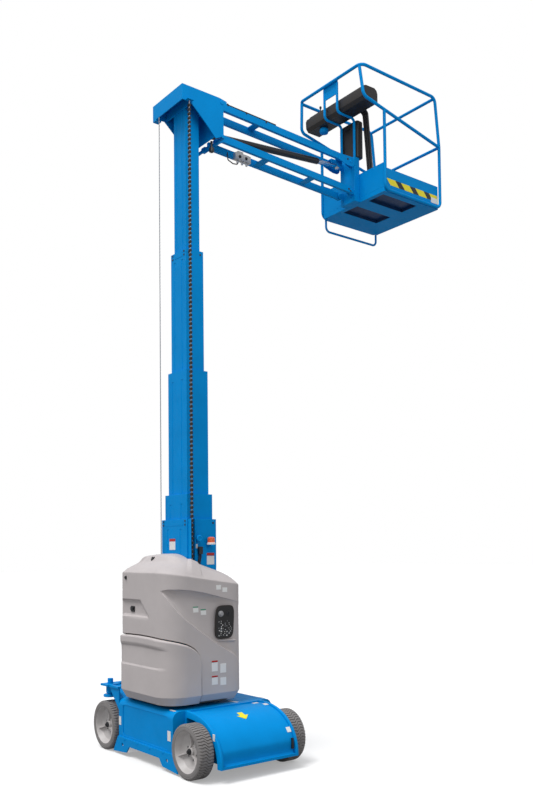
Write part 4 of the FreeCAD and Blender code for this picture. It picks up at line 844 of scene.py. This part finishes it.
# Mast: pads and bolts, plates, cables at its foot and beacon
def mast_trim():
    # columns: number of the section, body, half width x, half depth y, top
    for number, body, wide, deep, top in ((1, "turntable", 0.195, 0.141, 1.930), (4, "stage_4", 0.117, 0.0855, 4.170)):
        form = Form()
        for face in (-1, 1):
            y = MAST_MID + face * deep
            for x in (-wide + 0.03, wide - 0.03):
                for drop in (0.016, 0.046):
                    form.bolt((x, y, top - drop), (0, face, 0), 0.0065)
            for shift in (-deep + 0.03, deep - 0.03):
                # The carrier runs where one of the first section's bolts would be
                if not (number == 1 and face > 0 and shift < 0):
                    form.bolt((face * wide, MAST_MID + shift, top - 0.03), (face, 0, 0), 0.0065)
            form.block((-wide + 0.06, y - 0.004 if face > 0 else y - 0.0015, top - 0.052),
                       (wide - 0.06, y + 0.0015 if face > 0 else y + 0.004, top - 0.012), BLUE, 0.001)
        form.done(f"mast_pad_bolts_{number}", body, slot="dark_iron")
    plates = Form()
    for z, high, mat in ((1.716, 0.068, WHITE), (1.762, 0.022, RED)):
        plates.plate((-0.028, -0.1825, z), (0.09, 0.002, high), mat)
    for y, z, deep, high, mat in ((0.042, 1.595, 0.072, 0.07, WHITE), (0.042, 1.644, 0.072, 0.022, RED),
                                  (-0.100, 1.710, 0.036, 0.034, WHITE)):
        plates.plate((0.19565, y, z), (0.0023, deep, high), mat)
    plates.done("mast_plates", "turntable", slot="blue_paint")
    cables = Form()
    cables.block((0.197, -0.084, 1.645), (0.224, -0.050, 1.705), BLACK, 0.004)
    for y in (-0.075, -0.059):
        cables.tube([(0.207, y, 1.648), (0.207, y, 1.62), (0.207, y - 0.012, 1.56)], 0.0055, 0.02, HOSE, 10)
    cables.done("mast_foot_cables", "turntable", slot="black_rubber")
    beacon = Form()
    x, y, z = 0.240, 0.020, 1.722
    beacon.block((0.1955, 0.0, z - 0.012), (0.2755, 0.040, z), BLUE, 0.002)
    beacon.lathe(mm(0, 36, 12, 36, 16, 32), (x, y, z), Z, WHITE, 40)
    profile = mm(16, 30, 20, 31.5)
    for k in range(5):
        profile += [(0.024 + 0.009 * k, 0.0300), (0.0265 + 0.009 * k, 0.0290), (0.029 + 0.009 * k, 0.0300)]
    profile += mm(68, 28, 74, 22, 77, 12)
    beacon.lathe([(a * 0.8, r) for a, r in profile], (x, y, z), Z, LAMP, 40)
    # Round sounder beside it
    beacon.lathe(mm(0, 22, 20, 27, 44, 27, 50, 20, 46, 12), (0.197, -0.093, z + 0.050), X, BLUE, 24)
    beacon.done("warning_beacon_look", "turntable", slot="lamp_orange")


def shorten(obj):
    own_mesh(obj)


# Cable carrier: a chain of links down the side of the mast, and the thin level wire
def carrier():
    form = Form()
    low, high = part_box("cable_carrier")
    mid_y, pitch = (low.y + high.y) / 2, 0.0355
    x0, x1 = low.x + 0.001, high.x - 0.001
    for k in range(int((high.z - low.z) / pitch)):
        z = low.z + pitch * (k + 0.5)
        for x in (x0, x1 - 0.005):
            form.prism([(x, mid_y + 0.0105 * cos(a), z + 0.0095 * sin(a) + copysign(0.003, sin(a) + 1e-6))
                        for a in angles(10)], (0.005, 0, 0), HOSE, 0)
        for y in (mid_y - 0.0095, mid_y + 0.0055):
            form.block((x0 + 0.003, y, z - 0.0055), (x1 - 0.003, y + 0.004, z + 0.0055), HOSE, 0)
    # Two cables inside the links
    for shift in (-0.004, 0.0045):
        x = (x0 + x1) / 2 + shift
        form.rod((x, mid_y, low.z + 0.004), (x, mid_y, high.z - 0.001), 0.0035, WIRE, 8)
    shorten(form.done("cable_carrier_look", "stage_2"))
    wire = Form()
    low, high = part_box("level_cable")
    radius = (high.x - low.x) / 2
    x, y = (low.x + high.x) / 2, (low.y + high.y) / 2
    rows = []
    turns, twist = 400, 0.55
    for k in range(turns + 1):
        centre = Vector((x, y, low.z + (high.z - low.z) * k / turns))
        rows.append([centre + Vector((cos(a + k * twist), sin(a + k * twist), 0)) * radius * (0.99 if i % 2 else 0.8)
                     for i, a in enumerate(angles(10))])
    wire.skin(rows, WIRE)
    shorten(wire.done("level_cable_look", "stage_2", angle=70))


# Mast head trim: pins, knob under the front, rings at the arms' pivots
def head_trim():
    form = Form()
    for side in (-1, 1):
        for y, z in ((0.183, 5.455), (0.193, 5.165)):
            form.lathe(mm(0, 17, 4, 17, 6, 14), (side * 0.209, y, z), X * side, BLUE, 30)
    form.lathe(mm(0, 10, 56, 10, 58, 22, 90, 22, 95, 15), (0.12, 0.135, 5.142), -Z, BLACK, 24)
    form.done("head_pins", "stage_5", slot="blue_paint")
    ring = Form()
    for side in (1, -1):
        profile = mm(0, 26, 10, 26, 11, 24, 11, 15, 0, 14)
        ring.lathe(profile, (side * 0.118, 0.195, 5.455), X * side, ALLOY, 30, ends=False)
    ring.done("pivot_rings", "stage_5", slot="bare_aluminium")


# Jib hoses with their clamps, and the valve block
def jib_trim():
    form = Form()
    low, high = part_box("jib_hoses")
    for x in (0.082, 0.098):
        form.tube([(x, low.y + 0.001, high.z - 0.0085), (x, low.y + 0.3, (low.z + high.z) / 2),
                   (x, high.y - 0.001, low.z + 0.0075)], 0.0068, 0.02, HOSE, 12)
    for y in (0.32, 0.52, 0.74):
        z = high.z + (low.z - high.z) * (y - low.y) / (high.y - low.y)
        form.block((0.0725, y - 0.007, z - 0.018), (0.1075, y + 0.007, z + 0.0015), BLACK, 0.002)
    form.done("jib_hoses_look", "jib_upper")
    valve = Form()
    low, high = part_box("jib_valve")
    x0, x1, y, top = low.x, high.x, low.y, high.z
    x = (x0 + x1) / 2
    valve.block((x0, y, top - 0.062), (x1, y + 0.17, top), ALLOY, 0.003)
    valve.block((x0 + 0.006, y + 0.018, top - 0.004), (x1 - 0.006, y + 0.152, top + 0.006), ALLOY, 0.002)
    for shift in (0.035, 0.085, 0.135):
        valve.lathe(mm(0, 14, 6, 14, 6, 11.5, 20, 11.5, 24, 9, 28, 9), (x, y + shift, top - 0.062), -Z, ALLOY, 6)
    for shift in (0.05, 0.12):
        valve.lathe(mm(0, 14, 4, 14, 5.5, 11), (x1 - 0.001, y + shift, top - 0.03), X, DARK, 20)
    valve.block((x0 + 0.004, y + 0.03, top + 0.004), (x1 - 0.004, y + 0.09, top + 0.02), ALLOY, 0.003)
    valve.done("jib_valve_look", "jib_lower")
    loop = Form()
    bends = mm(-75, 20, -70, 85, -15, 105, 35, 98, 36, 78)
    loop.tube([(x, y + along, top - drop) for along, drop in bends], 0.005, 0.012, HOSE, 10)
    loop.done("valve_hose", "jib_lower", slot="black_rubber")


# Outer ends of the arms: hooked plates on the upper one, pin heads on the lower one
def arm_ends():
    form = Form()
    y, z, radius = 1.780, 5.430, 0.047
    outline = [(u, z - drop) for u, drop in mm(1620, 18, 1660, 28, 1700, 40, 1735, 47)]
    outline += [(y + radius * cos(a), z + radius * sin(a)) for a in (radians(-95 + 12 * k) for k in range(16))]
    outline += [(u, z + rise) for u, rise in mm(1740, 45, 1680, 43, 1620, 41)]
    pin = mm(0, 9, 4, 9, 5, 6)
    for side in (-1, 1):
        form.prism([(side * 0.1052, u, w) for u, w in outline], (side * 0.004, 0, 0), BLUE, 0.0008)
        form.lathe(mm(0, 14, 4, 14, 6, 11), (side * 0.1092, y, z), X * side, BLUE, 24)
        form.lathe(pin, (side * 0.1092, y - 0.045, z + 0.012), X * side, DARK, 16)
    form.done("upper_arm_ends", "jib_upper", slot="blue_paint")
    form = Form()
    for side in (-1, 1):
        for u, w in ((1.748, 5.152), (1.772, 5.138)):
            form.lathe(pin, (side * 0.1048, u, w), X * side, DARK, 16)
    form.done("lower_arm_ends", "jib_lower", slot="dark_iron")


# Platform: console, document box, hoses, guard rails, stripes and floor underside
def console():
    form = Form()
    low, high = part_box("control_console")
    low, high = low - Vector((0.012, 0.0, 0.010)), high + Vector((0.012, 0.014, 0.004))
    mid_y = (low.y + high.y) / 2
    profile = [(low.y + 0.03, low.z), (high.y - 0.022, low.z), (high.y, low.z + 0.022), (high.y, high.z - 0.045),
               (high.y - 0.012, high.z - 0.016), (high.y - 0.04, high.z), (low.y + 0.05, high.z - 0.004),
               (low.y + 0.014, high.z - 0.02), (low.y, high.z - 0.05), (low.y + 0.004, low.z + 0.03)]
    form.prism([(low.x, y, z) for y, z in profile], (high.x - low.x, 0, 0), PLASTIC, 0.008, 3)
    # Seam, lid, boot with its lever, and buttons on top
    form.block((low.x + 0.26, low.y + 0.02, high.z - 0.004), (low.x + 0.268, high.y - 0.03, high.z + 0.0005), BLACK, 0)
    lid = (low.x + 0.02, low.y + 0.035, high.z - 0.004), (low.x + 0.22, high.y - 0.045, high.z + 0.003)
    form.block(*lid, BLACK, 0.002)
    lever = mm(0, 24, 6, 23, 12, 17, 18, 18, 24, 12, 50, 6, 85, 6, 88, 11, 104, 12, 110, 7)
    form.lathe(lever, (low.x + 0.10, high.y - 0.09, high.z), Z, BLACK, 20)
    for k, mat in enumerate((RED, GREY, GREY, GREEN, GREY, GREY)):
        spot = (low.x + 0.32 + 0.05 * k, mid_y + 0.02 * (-1) ** k, high.z - 0.002)
        form.lathe(mm(0, 9, 4, 9, 7, 6), spot, Z, mat, 16)
    form.done("control_console_look", "platform")
    horn = Form()
    horn.lathe(mm(0, 30, 10, 42, 30, 45, 50, 40, 58, 20), (low.x + 0.16, mid_y, low.z + 0.004), -Z, BLUE, 30)
    horn.done("alarm_horn", "platform")


def document_box():
    form = Form()
    low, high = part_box("document_box")
    corner = 0.022
    ring = []
    for cx, cy, start in ((high.x - corner, high.y - corner, 0), (low.x + corner, high.y - corner, 90),
                          (low.x + corner, low.y + corner, 180), (high.x - corner, low.y + corner, 270)):
        for k in range(7):
            a = radians(start + 15 * k)
            ring.append((cx + corner * cos(a), cy + corner * sin(a)))
    rows = []
    middle = (low + high) / 2
    tall = high.z - low.z
    # columns: height above the foot, inset of the wall
    for up, inset in ((0, 0.006), (0.006, 0.001), (tall - 0.075, 0.0), (tall - 0.072, 0.002), (tall - 0.066, 0.002),
                      (tall - 0.063, 0.0), (tall - 0.012, 0.0), (tall - 0.003, 0.004), (tall, 0.014)):
        rows.append([(x + (middle.x - x) * inset / 0.13, y + (middle.y - y) * inset / 0.045, low.z + up)
                     for x, y in ring])
    form.skin(rows, PLASTIC)
    form.block((-0.05, low.y, high.z - 0.11), (0.02, low.y + 0.004, high.z - 0.055), BLACK, 0.002)
    form.done("document_box_look", "platform")


def hoses():
    for index in range(3):
        foot = Vector((0.208 + 0.026 * index, 1.934, 5.1065))
        near = Vector((0.1393 + 0.026 * index, 1.934, 5.8585))
        turn = Vector((0.130 + 0.026 * index, 1.934, 5.9598))
        plug = Vector((turn.x, 1.8323, turn.z))
        curve = bpy.data.curves.new(f"hose_{index + 1}", "CURVE")
        curve.dimensions = "3D"
        curve.bevel_depth = 0.011
        curve.bevel_resolution = 4
        curve.use_fill_caps = True
        curve.resolution_u = 24
        spline = curve.splines.new("NURBS")
        points = (foot, near, turn, plug)
        spline.points.add(len(points) - 1)
        for place, point in zip(spline.points, points):
            place.co = (*point, 1)
        spline.order_u = 3
        spline.use_endpoint_u = True
        curve.materials.append(HOSE)
        obj = add(f"hose_{index + 1}", curve)
        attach(obj, "platform")
        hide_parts("hose_bundle")


# Guard rails: side loops that carry on round the inner corners, their braces and the bars across
def guard_rails():
    half, thick, bend, inner, outer, top = 0.445, 0.015, 0.06, 1.604, 2.679, 6.190
    lean, joint, low, floor, drop = outer - 0.054, top - 0.494, 5.060 + thick, 1.900, top - 0.297
    post = drop + (joint - drop) * (floor - inner) / (outer - inner)
    for name, side in (("left", -1), ("right", 1)):
        form = Form()
        x = side * half
        form.tube([(side * (half - bend - 0.004), inner, top), (x, inner, top), (x, lean, top), (x, outer, joint),
                   (x, outer, low), (x, floor, low), (x, floor, post)], thick, bend, BLUE)
        form.tube([(side * (half - 2 * thick), inner + 0.006, top - thick - 0.002), (x, inner + 0.024, drop),
                   (x, outer, joint)], thick, bend, BLUE)
        form.done(f"guard_rail_{name}_look", "platform")
    form = Form()
    for reach, y, z in ((half - bend - 0.003, inner, top), (half - thick, lean - 0.014, top - 0.016),
                        (half - thick, outer, joint)):
        form.tube([(-reach, y, z), (0, y, z), (reach, y, z)], thick, bend, BLUE)
    form.done("guard_rail_crossbars_look", "platform")


def platform_trim():
    stripes = Form()
    y0, y1, z0, z1, count, lean = 1.93, 2.65, 5.136, 5.196, 4, 0.055
    wide = (y1 - y0) / (count - 0.4)
    for side in (1, -1):
        for k in range(count):
            for part, share, mat in ((0, 0.6, YELLOW), (0.6, 0.4, BLACK)):
                a = y0 + (k + part) * wide
                b = a + wide * share
                if a < y1 - 0.001:
                    points = [(side * 0.43, min(max(y, y0), y1), z)
                              for y, z in ((a, z1), (b, z1), (b + lean, z0), (a + lean, z0))]
                    stripes.prism(points, (side * 0.0008, 0, 0), mat, 0)
    stripes.done("hazard_stripes", "platform", slot="blue_paint")
    corner = Form()
    corner.block((0.4302, 2.56, 5.112), (0.4315, 2.655, 5.165), WHITE, 0.0003)
    corner.block((0.4302, 2.655, 5.112), (0.4315, 2.662, 5.18), YELLOW, 0.0003)
    corner.done("corner_plate", "platform", slot="blue_paint")


# Dark navy sheets in the floor's two channels: painted shade, standing for the shadow inside them
def floor_details():
    shade_sheets = Form()
    low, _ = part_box("platform_floor")
    for x in (-0.190, 0.166):
        # columns: block's low and high corner, from the channel's own corner
        for a, b, soften in (((0.002, 0.052, 0.033), (0.198, 0.518, 0.0355), 0.0005),
                             ((0.002, 0.052, 0.002), (0.198, 0.054, 0.033), 0),
                             ((0.002, 0.516, 0.002), (0.198, 0.518, 0.033), 0),
                             ((0.002, 0.054, 0.002), (0.004, 0.516, 0.033), 0),
                             ((0.196, 0.054, 0.002), (0.198, 0.516, 0.033), 0)):
            corner = Vector((x, low.y, low.z))
            shade_sheets.block(corner + Vector(a), corner + Vector(b), CHANNEL_SHADE, soften)
    shade_sheets.done("channel_painted_shade", "platform")


def by_ray(tree, others, seen):
    """One shader for what the camera sees, another for all other light."""
    path = node(tree, "LightPath").outputs["Is Camera Ray"]
    return node(tree, "MixShader", {}, {0: path, 1: others.outputs[0], 2: seen.outputs[0]}).outputs[0]


def lamp(name, kind, source, energy, **settings):
    """A light that shines from the direction of the source."""
    data = bpy.data.lights.new(name, kind)
    data.energy = energy
    for key, value in settings.items():
        setattr(data, key, value)
    obj = add(name, data)
    obj.rotation_mode = "QUATERNION"
    obj.rotation_quaternion = Vector(source).to_track_quat("Z", "Y")
    return obj


# Stage: pale floor and backdrop that the camera sees as white, and soft studio light
def stage():
    mat = bpy.data.materials.new("stage_white")
    mat.use_nodes = True
    tree = mat.node_tree
    shader = tree.nodes["Principled BSDF"]
    wire_up(tree, shader, {"Base Color": (0.64, 0.635, 0.63, 1), "Roughness": 0.9, "Specular IOR Level": 0.0})
    glow = node(tree, "Emission", {"Color": (1, 1, 1, 1), "Strength": 0.32})
    pale = node(tree, "BsdfDiffuse", {"Color": (0.27, 0.27, 0.27, 1)})
    both = node(tree, "AddShader", {}, {0: shader.outputs[0], 1: glow.outputs[0]})
    wire_up(tree, tree.nodes["Material Output"], {}, {"Surface": by_ray(tree, pale, both)})
    mesh = bpy.data.meshes.new("stage_floor")
    size = 60
    mesh.from_pydata([(-size, -size, 0), (size, -size, 0), (size, size, 0), (-size, size, 0)], [], [(0, 1, 2, 3)])
    mesh.materials.append(mat)
    add("stage_floor", mesh)
    world = bpy.data.worlds.new("world")
    bpy.context.scene.world = world
    world.use_nodes = True
    tree = world.node_tree
    tree.nodes.clear()
    seen = node(tree, "Background", {"Color": (1, 1, 1, 1), "Strength": 1.0})
    light = node(tree, "Background", {"Color": (0.95, 0.97, 1, 1), "Strength": 0.58})
    node(tree, "OutputWorld", {}, {0: by_ray(tree, light, seen)})
    lamp("key", "SUN", (-0.04, -0.58, 1.3), 2.3, angle=radians(26))
    lamp("fill", "SUN", (1.0, -0.25, 0.55), 0.3, angle=radians(70))
    # Soft box beside the raised platform
    place = Vector((3.3, -1.0, 6.1))
    lamp("high_box", "AREA", place - Vector((0, 1.0, 5.6)), 42, size=2.2).location = place
    bpy.context.scene.view_settings.view_transform = "Standard"


for build in (ground_panel, house_trim, end_cover, chassis_trim, steer_plates, mast_trim, carrier, head_trim, jib_trim,
              arm_ends, console, document_box, hoses, guard_rails, platform_trim, floor_details, stage):
    build()
